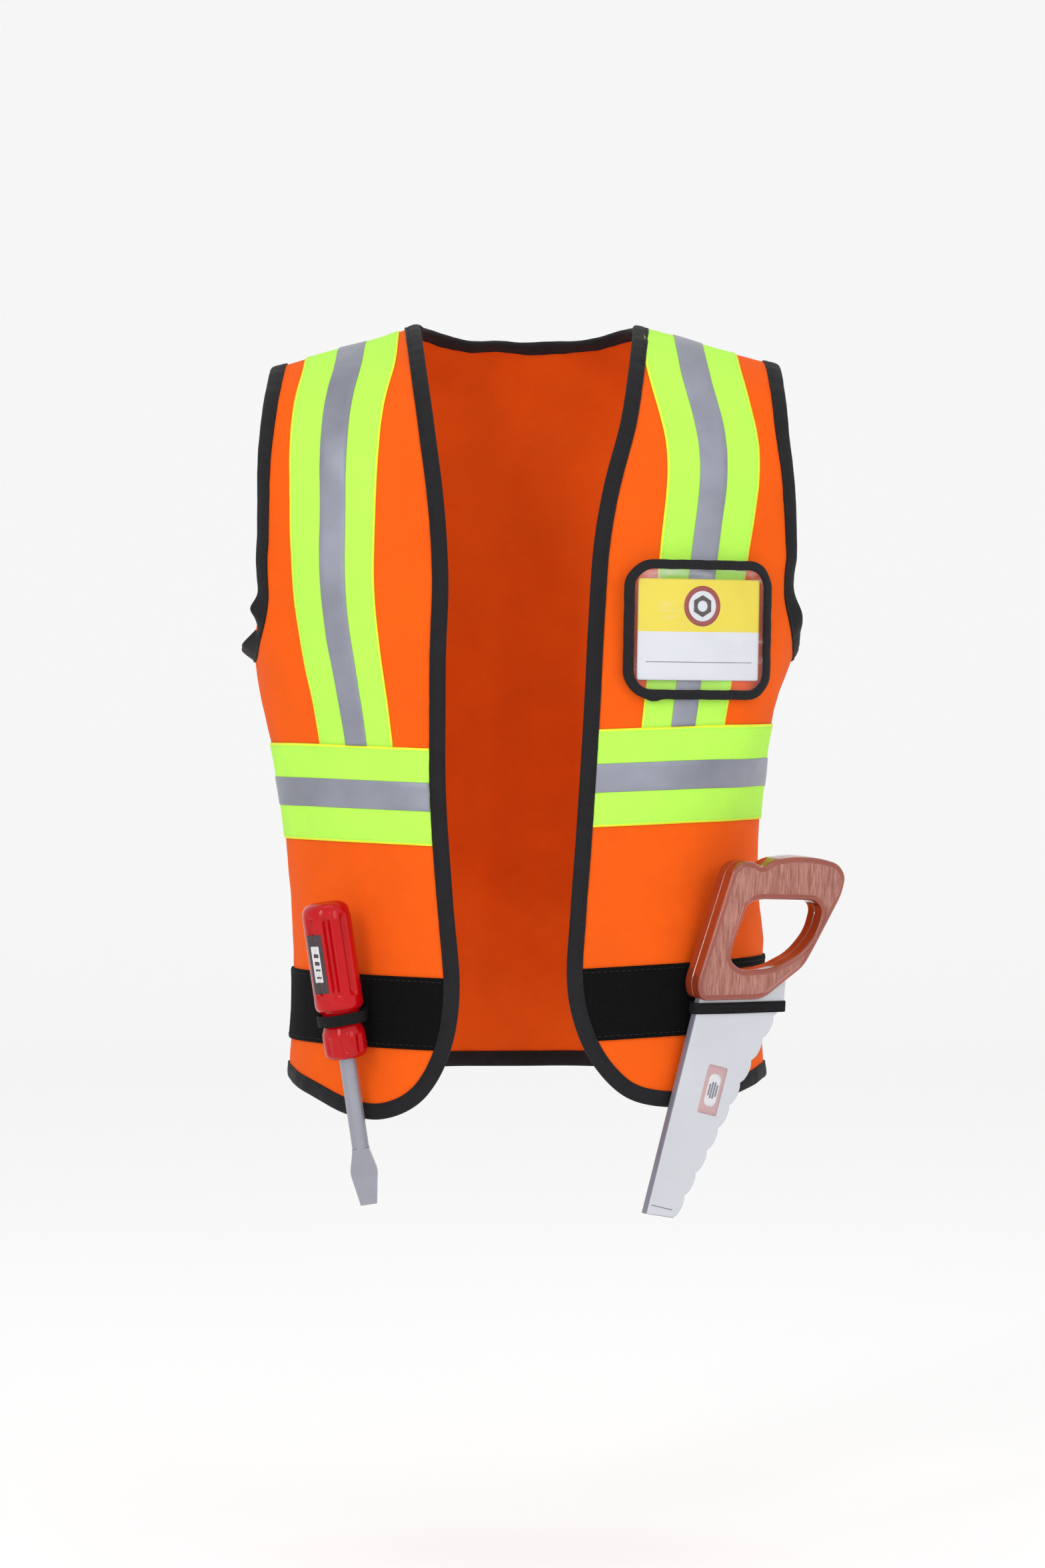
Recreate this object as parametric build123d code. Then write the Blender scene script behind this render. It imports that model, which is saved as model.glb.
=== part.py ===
"""Child's high-visibility builder's vest with a sewn-on tool belt, a toy screwdriver, a toy saw and a
badge card in a clear pocket. Millimetres, +Z up, front towards -Y, wearer's left towards +X.
The origin is on the line of the shoulders, in the middle of the neck."""
from build123d import *
import math
import os

# ---- the draped body: half widths and squareness of each level -------------------------------------
SHOULDER_Z = 5.0       # height of the shoulder seams beside the neck
NECK_HALF = 57.5       # half width of the neck opening on the shoulder seams
NECK_BACK = 45.0       # how far the neck opening reaches back
SHOULDER_FALL = 0.266  # fall of the shoulder seam per mm outwards
TURN_Z = -90.0         # height at which the cloth has turned from the shoulder to the chest
TURN_RADIUS = 95.0
HALF_DEPTH = 96.0      # half depth of the vest, front to back
# height, right half width, right squareness, left half width, left squareness
LEVELS = [
    (10, 170, 2.6, 168, 2.6),
    (-60, 170, 2.5, 168, 2.3),
    (-100, 166, 2.4, 164, 2.2),
    (-125, 160, 2.3, 158, 2.15),
    (-165, 149.5, 2.2, 147, 2.5),
    (-200, 143, 2.15, 134, 2.9),
    (-217, 140, 2.1, 130.5, 2.8),
    (-246, 135, 2.1, 126.5, 2.4),
    (-268, 131, 2.1, 124.5, 2.2),
    (-306, 128, 2.15, 125.5, 2.15),
    (-338, 127, 2.2, 126.3, 2.2),
    (-378, 127, 2.2, 126, 2.2),
    (-400, 129.5, 2.2, 127, 2.2),
    (-440, 131, 2.2, 129, 2.2),
]
LEVEL_BLEND = 12.0     # half height over which neighbouring levels run into each other
HEM_Z = -400.5         # lower edge of the back and of the side seams
FLAP_Z = -292.0        # height from which each front swings as a flap
FLAP_GAP = 0.6
SEAM_GAP = 0.4         # between a flap and the back, along the side seam
RIGHT, LEFT = -1, 1
FRONT, BACK = -1, 1

# ---- cloth, tape and webbing ------------------------------------------------------------------------
CLOTH = 1.2
TAPE = 0.6
REFLECTOR = 0.3
WEBBING = 1.4
LAYER_GAP = 0.15
BINDING_WIDTH = 8.5
BINDING_COVER = 1.0    # how far the binding stands out of each face of the cloth
BINDING_WRAP = 1.2     # how far it reaches past the cloth's edge
TAPE_WIDTH = 51.0
REFLECTOR_WIDTH = 15.0
WEBBING_WIDTH = 38.0

# ---- outlines seen from the front, (x, z) ------------------------------------------------------------
FRONT_EDGE = {
    RIGHT: [(-60, 16), (-53.5, -26), (-49, -57), (-44, -98), (-42, -139), (-43.5, -181), (-43.5, -245),
            (-39.5, -304), (-36, -349), (-41, -382), (-55, -407), (-76, -418), (-97, -416), (-118, -407),
            (-130, -400.5), (-150, -389)],
    LEFT: [(58, 16), (52.5, -26), (48, -53), (39.5, -86), (34, -119), (31, -160), (29, -201), (25.5, -260),
           (22, -308), (20, -345), (25, -371), (36, -392), (53, -407), (76, -412), (100, -410), (116, -405),
           (127, -400.5), (150, -389)],
}
ARMHOLE_EDGE = {
    RIGHT: [(-137, 20), (-139, -15), (-141, -45), (-143, -80), (-144, -110), (-145, -128)],
    LEFT: [(133, 20), (135.5, -20), (138, -51), (141, -77), (142.5, -109), (143.5, -128)],
}
ARMHOLE_TURN_Z = -128.0  # around this height the armhole is an ellipse in side view
ARMHOLE_DEPTH = 40.0
ARMHOLE_HALF = 47.0
SHOULDER_TAPE = {        # centre line of the tape over each shoulder: (x, z, visible width)
    RIGHT: [(-94, 20, 50), (-95.5, -16, 50), (-101.5, -56, 48), (-102, -142, 43), (-91, -222, 40)],
    LEFT: [(84, 20, 51), (87.5, -20, 51), (97, -67, 50), (93, -118, 48), (81, -212, 44)],
}
# chest tape: (x, z) of its top edge at the front binding and at the side seam
CHEST_TOP = {RIGHT: ((-44, -224), (-135, -220)), LEFT: ((30, -214), (126, -210))}
BELT_TOP = {RIGHT: ((-38, -344), (-128, -341)), LEFT: ((22, -339), (127, -334))}
# the back's tape and belt run on from those of the fronts, from one side seam to the other
BACK_CHEST_TOP = (CHEST_TOP[RIGHT][1], CHEST_TOP[LEFT][1])
BACK_BELT_TOP = (BELT_TOP[RIGHT][1], BELT_TOP[LEFT][1])

# ---- badge pocket ------------------------------------------------------------------------------------
POCKET_MIDDLE = (91.05, -86.65, -161.5)
POCKET_YAW = 24.8
POCKET_PITCH = 2.3       # the mouth stands out further than the bottom
POCKET_RADIUS = 136.0
POCKET_SIZE = (86.0, 73.0)
POCKET_CORNER = 15.0
POCKET_BINDING = 5.0
CARD_SIZE = (71.0, 53.0)
CARD_LAYER = (0.45, 0.95)      # distance of the card's two faces from the pocket's back
WINDOW_LAYER = (1.5, 2.0)
POCKET_BINDING_LAYER = (1.2, 2.5)

# ---- toy screwdriver ---------------------------------------------------------------------------------
DRIVER_LOOP = (-98.0, -85.8, -365.0)
DRIVER_LEAN = 8.3        # tip leans towards the middle
DRIVER_TILT = 3.0        # handle leans away from the body
HANDLE_RADIUS = 12.8
NECK_RADIUS = 9.5
FLARE_RADIUS = 11.4
SHAFT_RADIUS = 4.5
HANDLE_TOP, HANDLE_END = 62.0, -21.0
BLADE_START, BLADE_END = -70.0, -99.0
FLUTES = 8

# ---- toy saw -------------------------------------------------------------------------------------------
SAW_LOOP = (109.5, -73.2, -358.0)
SAW_YAW = 30.0
SAW_TILT = 5.0
SAW_LEAN = 13.8          # of the blade's back, in the saw's own plane
SAW_HANDLE_THICK = 15.0
SAW_BLADE_THICK = 5.0
# in the saw's plane: across, up from the loop
SAW_HANDLE = [(-26.5, 3), (-29, 12), (-10, 72), (-5, 76), (3, 76), (8, 72.5), (16, 77), (30, 78.5), (44, 77.5),
              (56, 74.5), (61, 68), (59, 58), (42, 28), (37, 20), (26, 12.5), (12, 3)]
SAW_OPENING = [(0, 54), (8, 56), (42, 55), (47, 50), (44, 38), (34, 27), (18, 19.5), (-2, 18.5), (-9.5, 24),
               (-8, 32)]
BLADE_TOP_LEFT, BLADE_TOP_RIGHT = (-20.0, 22.0), (29.0, 14.0)
BLADE_TIP_LEFT, BLADE_TIP_RIGHT = (-51.5, -109.0), (-34.5, -112.0)
BLADE_HEEL = (28.5, 5.0)
TEETH = 10
TOOTH_DEPTH = 1.8
SCREW_PLACES = [(-17, 11), (4, 10), (2, 66), (50, 65)]

LOOP_HEIGHT = 6.0
LOOP_THICK = 0.8
SAW_LOOP_SPAN = (-26.9, 29.0)   # where the elastic turns round the blade's edges
SAW_LOOP_SEAT = (-20.0, -4.0)   # where it is sewn to the belt
SAW_LOOP_REACH = 8.2            # from the blade's middle back to the belt
SAW_LOOP_EASE = 0.4
SAW_LOOP_TOP = 1.4
TIP_SEAT_SIZE = (13.0, 1.2, 1.0)  # groove across the blade's tip

OUT = "parts"


# ---- the draped surface ----------------------------------------------------------------------------------
def level(height, column):
    """A level's value at any height, straight between the levels and rounded where they meet."""
    total = 0.0
    for step in (-1.0, -0.5, 0.0, 0.5, 1.0):
        z = min(max(height + step * LEVEL_BLEND, LEVELS[-1][0]), LEVELS[0][0])
        upper = max(i for i, row in enumerate(LEVELS[:-1]) if row[0] >= z)
        a, b = LEVELS[upper], LEVELS[upper + 1]
        share = (a[0] - z) / (a[0] - b[0])
        total += a[column] + (b[column] - a[column]) * share
    return total / 5


def ridge(x):
    """Height of the shoulder seam above a place across the body."""
    if abs(x) < NECK_HALF:
        return SHOULDER_Z + SHOULDER_FALL * NECK_HALF / 2 * (1 - (x / NECK_HALF) ** 2)
    return SHOULDER_Z - SHOULDER_FALL * (abs(x) - NECK_HALF)


def row_at(height):
    """The row of the drape that lies at a height below the turn from shoulder to chest."""
    return math.pi / 2 + (TURN_Z - height) / TURN_RADIUS


def smooth(value):
    value = min(max(value, 0.0), 1.0)
    return value * value * (3 - 2 * value)


def drape(face, row, across):
    """A point of the cloth's outer face, as x, distance along its row's plane, and that plane's direction.
    Row 0 stands up in the shoulder seams. Rows fan out from there to level, and then go down level by level.
    across runs from -1 to 1, from the right side seam to the left one."""
    angle = min(row, math.pi / 2)
    height = TURN_Z + TURN_RADIUS * math.cos(angle) - TURN_RADIUS * (row - angle)
    side = LEFT if across > 0 else RIGHT
    width = level(height, 3 if side == LEFT else 1)
    square = level(height, 4 if side == LEFT else 2)
    start = 0.45 * (1 - smooth((row - 0.6) / 1.5))
    turn = math.pi / 2 - abs(across) * (math.pi / 2 - start)
    out, forward = math.cos(turn), math.sin(turn)
    size = (abs(out) ** square + abs(forward) ** square) ** (-1 / square)
    x = side * width * out * size
    depth = HALF_DEPTH * forward * size
    if row < math.pi / 2:
        depth = 1 / math.hypot(math.cos(angle) / (ridge(x) - TURN_Z), math.sin(angle) / depth)
    plane = Vector(0, face * math.sin(angle), math.cos(angle))
    foot = Vector(0, 0, TURN_Z - TURN_RADIUS * (row - angle))
    return x, depth, foot, plane


def offset_point(face, row, across, distance):
    """A point at a distance outwards from the cloth's outer face, in its row's plane."""
    x, depth, foot, plane = drape(face, row, across)
    before, after = drape(face, row, across - 1e-3), drape(face, row, across + 1e-3)
    run, rise = after[0] - before[0], after[1] - before[1]
    length = math.hypot(run, rise)
    x -= rise / length * distance
    depth += run / length * distance
    return foot + Vector(x, 0, 0) + plane * depth


def layer(face, side, inner, outer, top=None, bottom=-440.0):
    """Closed solid between two distances from the cloth's outer face, over one front or the whole back."""
    first = 0.0 if top is None else row_at(top)
    last = row_at(bottom)
    rows = max(4, round((last - first) / 0.28))
    start, end = {RIGHT: (-1.0, -0.06), LEFT: (0.06, 1.0), 0: (-1.0, 1.0)}[side]
    columns = 10 if side else 20
    sections = []
    for i in range(rows + 1):
        row = first + (last - first) * i / rows
        places = [start + (end - start) * j / columns for j in range(columns + 1)]
        near = Spline(*[offset_point(face, row, a, outer) for a in places])
        far = Spline(*[offset_point(face, row, a, inner) for a in reversed(places)])
        sections.append(Wire([near, Line(near @ 1, far @ 0), far, Line(far @ 1, near @ 0)]))
    return Solid.make_loft(sections)


# ---- tools for outlines ------------------------------------------------------------------------------------
def upright(face, depth=220.0):
    """A face drawn as (x, z), made into a prism that runs front to back."""
    return extrude(face.moved(Location((0, 0, 0), (90, 0, 0))), amount=depth, both=True)


def front_block(x0, x1, z0, z1):
    """A block seen from the front, running front to back."""
    return Pos((x0 + x1) / 2, 0, (z0 + z1) / 2) * Box(abs(x1 - x0), 500, abs(z1 - z0))


def ahead_of_seam():
    """Everything in front of the side seams, but for a thin gap."""
    depth = 400.0
    return Pos(0, -SEAM_GAP - depth / 2, -300) * Box(600, depth, 600)


def closed_outline(points):
    """Face of a closed outline, with its normal towards +Z whichever way the points run."""
    face = Face(Wire(Polyline(*points, close=True)))
    return face if face.normal_at().Z > 0 else -face


def beside(points, distance):
    """The points of a line that runs beside a curve through some points, to its left when positive."""
    curve = Spline(*points)
    count = 2 * len(points)
    moved = []
    for i in range(count + 1):
        place, heading = curve.position_at(i / count), curve.tangent_at(i / count)
        moved.append((place.X - heading.Y * distance, place.Y + heading.X * distance))
    return moved


def region(points, side, far=300.0):
    """The face between a curve and a far side of the body, above the curve's lower end."""
    curve = Spline(*points)
    start, end = curve @ 0, curve @ 1
    corner = side * far
    rest = Polyline((end.X, end.Y), (corner, end.Y), (corner, 100), (start.X, 100), (start.X, start.Y))
    return Face(Wire([curve, *rest.edges()]))


def inside_front_edge(side, margin):
    """The part of a front that lies more than a margin inside its edge and rounded hem."""
    points = FRONT_EDGE[side]
    if margin:
        points = beside(points, side * margin)
    return upright(region(points, side))


def armhole(side, margin):
    """What the armhole takes away, grown by a margin."""
    edge = [(x - side * margin, z) for x, z in ARMHOLE_EDGE[side]]
    top, bottom = edge[0], edge[-1]
    curve = Spline(*edge)
    far = side * 300
    rest = Polyline(bottom, (far, bottom[1]), (far, top[1]), top)
    upper = upright(Face(Wire([curve, *rest.edges()])))
    ellipse = Ellipse(ARMHOLE_HALF + margin, ARMHOLE_DEPTH + margin)
    lower = extrude(Plane.YZ * ellipse, amount=side * 300)
    return upper + Pos(0, 0, ARMHOLE_TURN_Z) * (lower & Pos(side * 205, 0, 0) * Box(200, 300, 300))


def neck(margin):
    """What the neck opening takes out of the back, grown by a margin."""
    ellipse = Ellipse(NECK_HALF + margin, NECK_BACK + margin)
    return Pos(0, 0, -100) * extrude(ellipse, amount=200)


def band(ends, width, start, side):
    """A sloping strip seen from the front. It starts a distance under the top line and has a width."""
    (x0, z0), (x1, z1) = ends
    slope = (z1 - z0) / (x1 - x0)
    near, far = x0 - side * 40, x1 + side * 40
    z_near, z_far = z0 + (near - x0) * slope - start, z0 + (far - x0) * slope - start
    return upright(closed_outline([(near, z_near), (far, z_far), (far, z_far - width), (near, z_near - width)]))


def ribbon(side, share):
    """The strip over a shoulder, seen from the front: a share of its width about its centre line."""
    line = SHOULDER_TAPE[side]
    inner = Spline(*[(x - side * w * share / 2, z) for x, z, w in line])
    outer = Spline(*[(x + side * w * share / 2, z) for x, z, w in line])
    rims = [Line(inner @ 0, outer @ 0), Line(inner @ 1, outer @ 1)]
    return upright(Face(Wire([inner, rims[1], outer, rims[0]])))


def largest(shape):
    """The main solid of a cut, without crumbs."""
    return max(shape.solids(), key=lambda solid: solid.volume)


# ---- vest: cloth and bindings -------------------------------------------------------------------------------
def front_pieces(side):
    """Upper front, lower flap and their bindings, with the armhole's front half."""
    cloth = layer(FRONT, side, -CLOTH, 0)
    cloth = cloth & inside_front_edge(side, BINDING_WRAP)
    cloth = cloth - armhole(side, BINDING_WRAP)
    trim = layer(FRONT, side, -CLOTH - BINDING_COVER, BINDING_COVER)
    edge_band = (trim & inside_front_edge(side, 0)) - inside_front_edge(side, BINDING_WIDTH)
    edge_band = edge_band - cloth
    arm_band = (trim & armhole(side, BINDING_WIDTH)) - armhole(side, 0)
    arm_band = arm_band & front_block(side * 100, side * 300, -220, 60)
    upper = front_block(-300, 300, FLAP_Z, 100)
    lower = front_block(-300, 300, FLAP_Z - FLAP_GAP, -500) & ahead_of_seam()
    return {
        "front_panel": largest(cloth & upper),
        "front_flap": largest(cloth & lower),
        "front_binding": largest(edge_band & upper),
        "flap_binding": largest(edge_band & lower),
        "armhole_front_binding": largest(arm_band - cloth),
    }


def back_pieces():
    """Back panel, and its neck, hem and armhole bands."""
    cloth = layer(BACK, 0, -CLOTH, 0) & front_block(-300, 300, HEM_Z + BINDING_WRAP, 100)
    cloth = cloth - neck(BINDING_WRAP)
    trim = layer(BACK, 0, -CLOTH - BINDING_COVER, BINDING_COVER)
    arms = {}
    for side in (RIGHT, LEFT):
        cloth = cloth - armhole(side, BINDING_WRAP)
        arm_band = (trim & armhole(side, BINDING_WIDTH)) - armhole(side, 0)
        arms[side] = arm_band & front_block(side * 100, side * 300, -220, 60)
    cloth = largest(cloth)
    arms = {side: largest(arm_band - cloth) for side, arm_band in arms.items()}
    hem = (trim & front_block(-300, 300, HEM_Z, HEM_Z + BINDING_WIDTH)) - cloth
    neck_band = ((trim & neck(BINDING_WIDTH)) - neck(0)) - cloth
    return cloth, largest(neck_band), largest(hem), arms


def tapes(side, clear):
    """Lime tapes and reflectors of one front. clear is the space that the bindings leave free."""
    pieces = {}
    chest_low = band(CHEST_TOP[side], 300, LAYER_GAP * -2, side)
    for name, share, width, start, inner, thick in (
        ("tape", 1.0, TAPE_WIDTH, 0.0, LAYER_GAP, TAPE),
        ("reflector", REFLECTOR_WIDTH / TAPE_WIDTH, REFLECTOR_WIDTH, (TAPE_WIDTH - REFLECTOR_WIDTH) / 2,
         2 * LAYER_GAP + TAPE, REFLECTOR),
    ):
        stack = layer(FRONT, side, inner, inner + thick)
        pieces["shoulder_" + name] = largest((stack & ribbon(side, share) & clear) - chest_low)
        stack = layer(FRONT, side, inner, inner + thick, top=-195, bottom=-290)
        pieces["chest_" + name] = largest(stack & band(CHEST_TOP[side], width, start, side) & clear)
    return pieces


def back_tapes():
    pieces = {}
    taken = band(BACK_CHEST_TOP, 300, LAYER_GAP * -2, LEFT) + neck(BINDING_WIDTH + 0.3)
    for name, share, width, start, inner, thick in (
        ("tape", 1.0, TAPE_WIDTH, 0.0, LAYER_GAP, TAPE),
        ("reflector", REFLECTOR_WIDTH / TAPE_WIDTH, REFLECTOR_WIDTH, (TAPE_WIDTH - REFLECTOR_WIDTH) / 2,
         2 * LAYER_GAP + TAPE, REFLECTOR),
    ):
        stack = layer(BACK, 0, inner, inner + thick)
        for side, word in ((RIGHT, "right"), (LEFT, "left")):
            pieces[f"back_{word}_shoulder_{name}"] = largest((stack & ribbon(side, share)) - taken)
        stack = layer(BACK, 0, inner, inner + thick, top=-195, bottom=-290)
        pieces[f"back_chest_{name}"] = largest(stack & band(BACK_CHEST_TOP, width, start, LEFT))
    return pieces


def belt(side, clear):
    """Ribbed webbing sewn to one front, ending at the side seam."""
    webbing = layer(FRONT, side, LAYER_GAP, LAYER_GAP + WEBBING, top=-310, bottom=-400)
    webbing = webbing & band(BELT_TOP[side], WEBBING_WIDTH, 0, side) & clear
    return largest(webbing & ahead_of_seam())


def back_belt():
    webbing = layer(BACK, 0, LAYER_GAP, LAYER_GAP + WEBBING, top=-310, bottom=-400)
    return largest(webbing & band(BACK_BELT_TOP, WEBBING_WIDTH, 0, LEFT))


# ---- badge pocket -------------------------------------------------------------------------------------------
def pocket_plane():
    """The plane of the pocket's back: x across, y up to the mouth and z outwards."""
    yaw, pitch = math.radians(POCKET_YAW), math.radians(POCKET_PITCH)
    outward = Vector(math.sin(yaw), -math.cos(yaw), 0) * math.cos(pitch) - Vector(0, 0, math.sin(pitch))
    return Plane(origin=POCKET_MIDDLE, x_dir=(math.cos(yaw), math.sin(yaw), 0), z_dir=outward)


def pocket_layer(inner, outer, face):
    """A curved sheet of the pocket between two distances from its back, with the outline of a face."""
    plane = pocket_plane()
    ring = Cylinder(POCKET_RADIUS + outer, 200) - Cylinder(POCKET_RADIUS + inner, 200)
    ring = plane.location * Pos(0, 0, -POCKET_RADIUS) * Rot(90, 0, 0) * ring
    return largest(ring & extrude(plane * face, amount=60, both=True))


def badge_pieces():
    width, height = POCKET_SIZE
    outline = RectangleRounded(width, height, POCKET_CORNER)
    opening = RectangleRounded(width - 2 * POCKET_BINDING, height - 2 * POCKET_BINDING,
                               POCKET_CORNER - POCKET_BINDING)
    edge = RectangleRounded(width - 2, height - 2, POCKET_CORNER - 1)
    window = pocket_layer(*WINDOW_LAYER, edge)
    rim = pocket_layer(*POCKET_BINDING_LAYER, outline - opening) - window
    seat = outline - opening - Pos(0, height / 2) * Rectangle(width - 2 * POCKET_BINDING, height)
    rim = rim + pocket_layer(0, POCKET_BINDING_LAYER[0], seat)
    card = pocket_layer(*CARD_LAYER, Pos(-0.3, 0) * RectangleRounded(*CARD_SIZE, 1.5))
    return {"badge_window": window, "badge_pocket_binding": largest(rim), "badge_card": card}


# ---- toy screwdriver --------------------------------------------------------------------------------------------
def driver_plane():
    up = Vector(-math.tan(math.radians(DRIVER_LEAN)), -math.tan(math.radians(DRIVER_TILT)), 1)
    return Plane(origin=DRIVER_LOOP, x_dir=Vector(1, 0, 0).cross(up).cross(up) * -1, z_dir=up)


def driver_pieces():
    r, neck_r, flare_r = HANDLE_RADIUS, NECK_RADIUS, FLARE_RADIUS
    with BuildPart() as handle:
        with BuildSketch(Plane.XZ):
            with BuildLine():
                Polyline((0, HANDLE_TOP), (5, HANDLE_TOP))
                Spline((5, HANDLE_TOP), (r - 1.5, HANDLE_TOP - 4), (r, HANDLE_TOP - 11),
                       tangents=((1, 0), (0, -1)))
                Polyline((r, HANDLE_TOP - 11), (r, 7))
                Spline((r, 7), (neck_r + 0.8, 3.6), (neck_r, 0), (neck_r + 0.7, -3.6), (flare_r, -8),
                       tangents=((0, -1), (0, -1)))
                Polyline((flare_r, -8), (flare_r - 0.3, HANDLE_END + 3), (7.5, HANDLE_END), (0, HANDLE_END),
                         (0, HANDLE_TOP))
            make_face()
        revolve(axis=Axis.Z)
    flute = Cylinder(2.6, 34) + Pos(0, 0, 17) * Sphere(2.6) + Pos(0, 0, -17) * Sphere(2.6)
    body = handle.part
    for i in range(FLUTES):
        body = body - Rot(0, 0, (i + 0.5) * 360 / FLUTES) * Pos(r + 1.3, 0, 31) * flute
    shaft_top, shaft_length = 5.0, 5.0 - BLADE_START + 2
    body = body - Pos(0, 0, shaft_top - 20) * Cylinder(SHAFT_RADIUS, 40)
    shaft = Pos(0, 0, shaft_top - shaft_length / 2) * Cylinder(SHAFT_RADIUS, shaft_length)
    front = closed_outline([(-4.5, BLADE_START + 4), (4.5, BLADE_START + 4), (4.5, BLADE_START), (7, -80),
                            (7, -83), (4.3, BLADE_END), (-4.3, BLADE_END), (-7, -83), (-7, -80),
                            (-4.5, BLADE_START)])
    edge_on = closed_outline([(-4.5, BLADE_START + 4), (4.5, BLADE_START + 4), (4.5, BLADE_START), (1.7, -84),
                              (1.0, BLADE_END), (-1.0, BLADE_END), (-1.7, -84), (-4.5, BLADE_START)])
    blade = upright(front, 20) & Rot(0, 0, 90) * upright(edge_on, 20)
    shaft = shaft - Pos(0, 0, BLADE_START - 50 + 1) * Box(40, 40, 100) + \
        (blade - Pos(0, 0, BLADE_START + 51) * Box(40, 40, 100))
    label = (Cylinder(r + 0.3, 30) - Cylinder(r + 0.05, 30)) & Pos(0, -20, 0) * Box(9, 40, 40)
    label = Rot(0, 0, -28) * Pos(0, 0, 31) * label
    to_place = driver_plane().location
    return {
        "screwdriver_handle": to_place * largest(body),
        "screwdriver_shaft": to_place * largest(shaft),
        "screwdriver_label": to_place * largest(label),
    }


def driver_loop(body_core):
    """Elastic round the handle's neck, open enough for the flare, with its foot sewn to the belt."""
    inner = FLARE_RADIUS + 0.5
    outer = inner + LOOP_THICK
    ring = Cylinder(outer, LOOP_HEIGHT) + Pos(0, 11, 0) * Box(16, 12, LOOP_HEIGHT)
    foot_turn = Rot(0, 0, -29)
    ring = foot_turn * (ring - Cylinder(inner, LOOP_HEIGHT + 2))
    return largest(driver_plane().location * ring - body_core)


# ---- toy saw --------------------------------------------------------------------------------------------------------
def saw_plane():
    yaw, tilt = math.radians(SAW_YAW), math.radians(SAW_TILT)
    across = Vector(math.cos(yaw), math.sin(yaw), 0)
    outward = Vector(math.sin(yaw), -math.cos(yaw), 0)
    up = Vector(0, 0, 1) * math.cos(tilt) + outward * math.sin(tilt)
    return Plane(origin=SAW_LOOP, x_dir=across, z_dir=across.cross(up))


def toothed_outline():
    """Blade outline with a row of scallops from the heel to the tip."""
    heel, tip = Vector(*BLADE_HEEL), Vector(*BLADE_TIP_RIGHT)
    run = (tip - heel) * (1 / TEETH)
    out = Vector(-run.Y, run.X).normalized() * TOOTH_DEPTH
    lines = [Line(BLADE_TIP_LEFT, BLADE_TOP_LEFT), Line(BLADE_TOP_LEFT, BLADE_TOP_RIGHT),
             Line(BLADE_TOP_RIGHT, BLADE_HEEL)]
    for i in range(TEETH):
        a, b = heel + run * i, heel + run * (i + 1)
        lines.append(ThreePointArc((a.X, a.Y), tuple((a + b) * 0.5 + out)[:2], (b.X, b.Y)))
    lines.append(Line(BLADE_TIP_RIGHT, BLADE_TIP_LEFT))
    return Face(Wire(lines))


def saw_pieces():
    plane = saw_plane()
    thick, blade_thick = SAW_HANDLE_THICK, SAW_BLADE_THICK
    outline = closed_outline(SAW_HANDLE)
    opening = closed_outline(SAW_OPENING)
    blade = extrude(toothed_outline(), amount=blade_thick / 2, both=True)
    tip_seat = Pos(-41.5, -105, blade_thick / 2) * Rot(0, 0, -10) * Box(*TIP_SEAT_SIZE)
    screws = [Pos(x, y, -thick / 2) * (Cylinder(2.6, 1.6) + Pos(0, 0, 3.2) * Cylinder(1.2, 5))
              for x, y in SCREW_PLACES]
    blade = blade - tip_seat - screws
    shells = {}
    for name, sign in (("front", 1), ("back", -1)):
        shell = extrude(outline - opening, amount=sign * thick / 2)
        rim = shell.edges().filter_by(Plane.XY).filter_by(
            lambda e, s=sign: abs(e.center().Z - s * thick / 2) < 0.01)
        shell = chamfer(rim, 1.2)
        shells[name] = shell - extrude(toothed_outline(), amount=blade_thick / 2 + 0.02, both=True)
    for screw in screws:
        shells["back"] = shells["back"] - screw
        shells["front"] = shells["front"] - screw
    label = Pos(-14, -45, blade_thick / 2 + 0.15) * Rot(0, 0, -SAW_LEAN) * Box(12, 26, 0.2)
    to_place = plane.location
    return {
        "saw_handle_front": to_place * largest(shells["front"]),
        "saw_handle_back": to_place * largest(shells["back"]),
        "saw_blade": to_place * largest(blade),
        "saw_label": to_place * label,
        "saw_screws": Compound([to_place * largest(screw) for screw in screws]),
    }


def saw_loop(body_core):
    """Elastic across the blade, turned round both of its edges and sewn to the belt behind it."""
    near, far = SAW_LOOP_SPAN
    seat_near, seat_far = SAW_LOOP_SEAT
    half_gap = SAW_BLADE_THICK / 2 + SAW_LOOP_EASE
    t = LOOP_THICK
    inner = [(near, half_gap), (far, half_gap), (far, -half_gap), (seat_far, t - SAW_LOOP_REACH),
             (seat_near, t - SAW_LOOP_REACH), (near, -half_gap)]
    outer = [(near - t, half_gap + t), (far + t, half_gap + t), (far + t, -half_gap - t),
             (seat_far, -SAW_LOOP_REACH - 3), (seat_near, -SAW_LOOP_REACH - 3), (near - t, -half_gap - t)]
    section = closed_outline(outer) - closed_outline(inner)
    strip = Pos(0, SAW_LOOP_TOP, 0) * Rot(90, 0, 0) * extrude(section, amount=LOOP_HEIGHT)
    return largest(saw_plane().location * strip - body_core)


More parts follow.
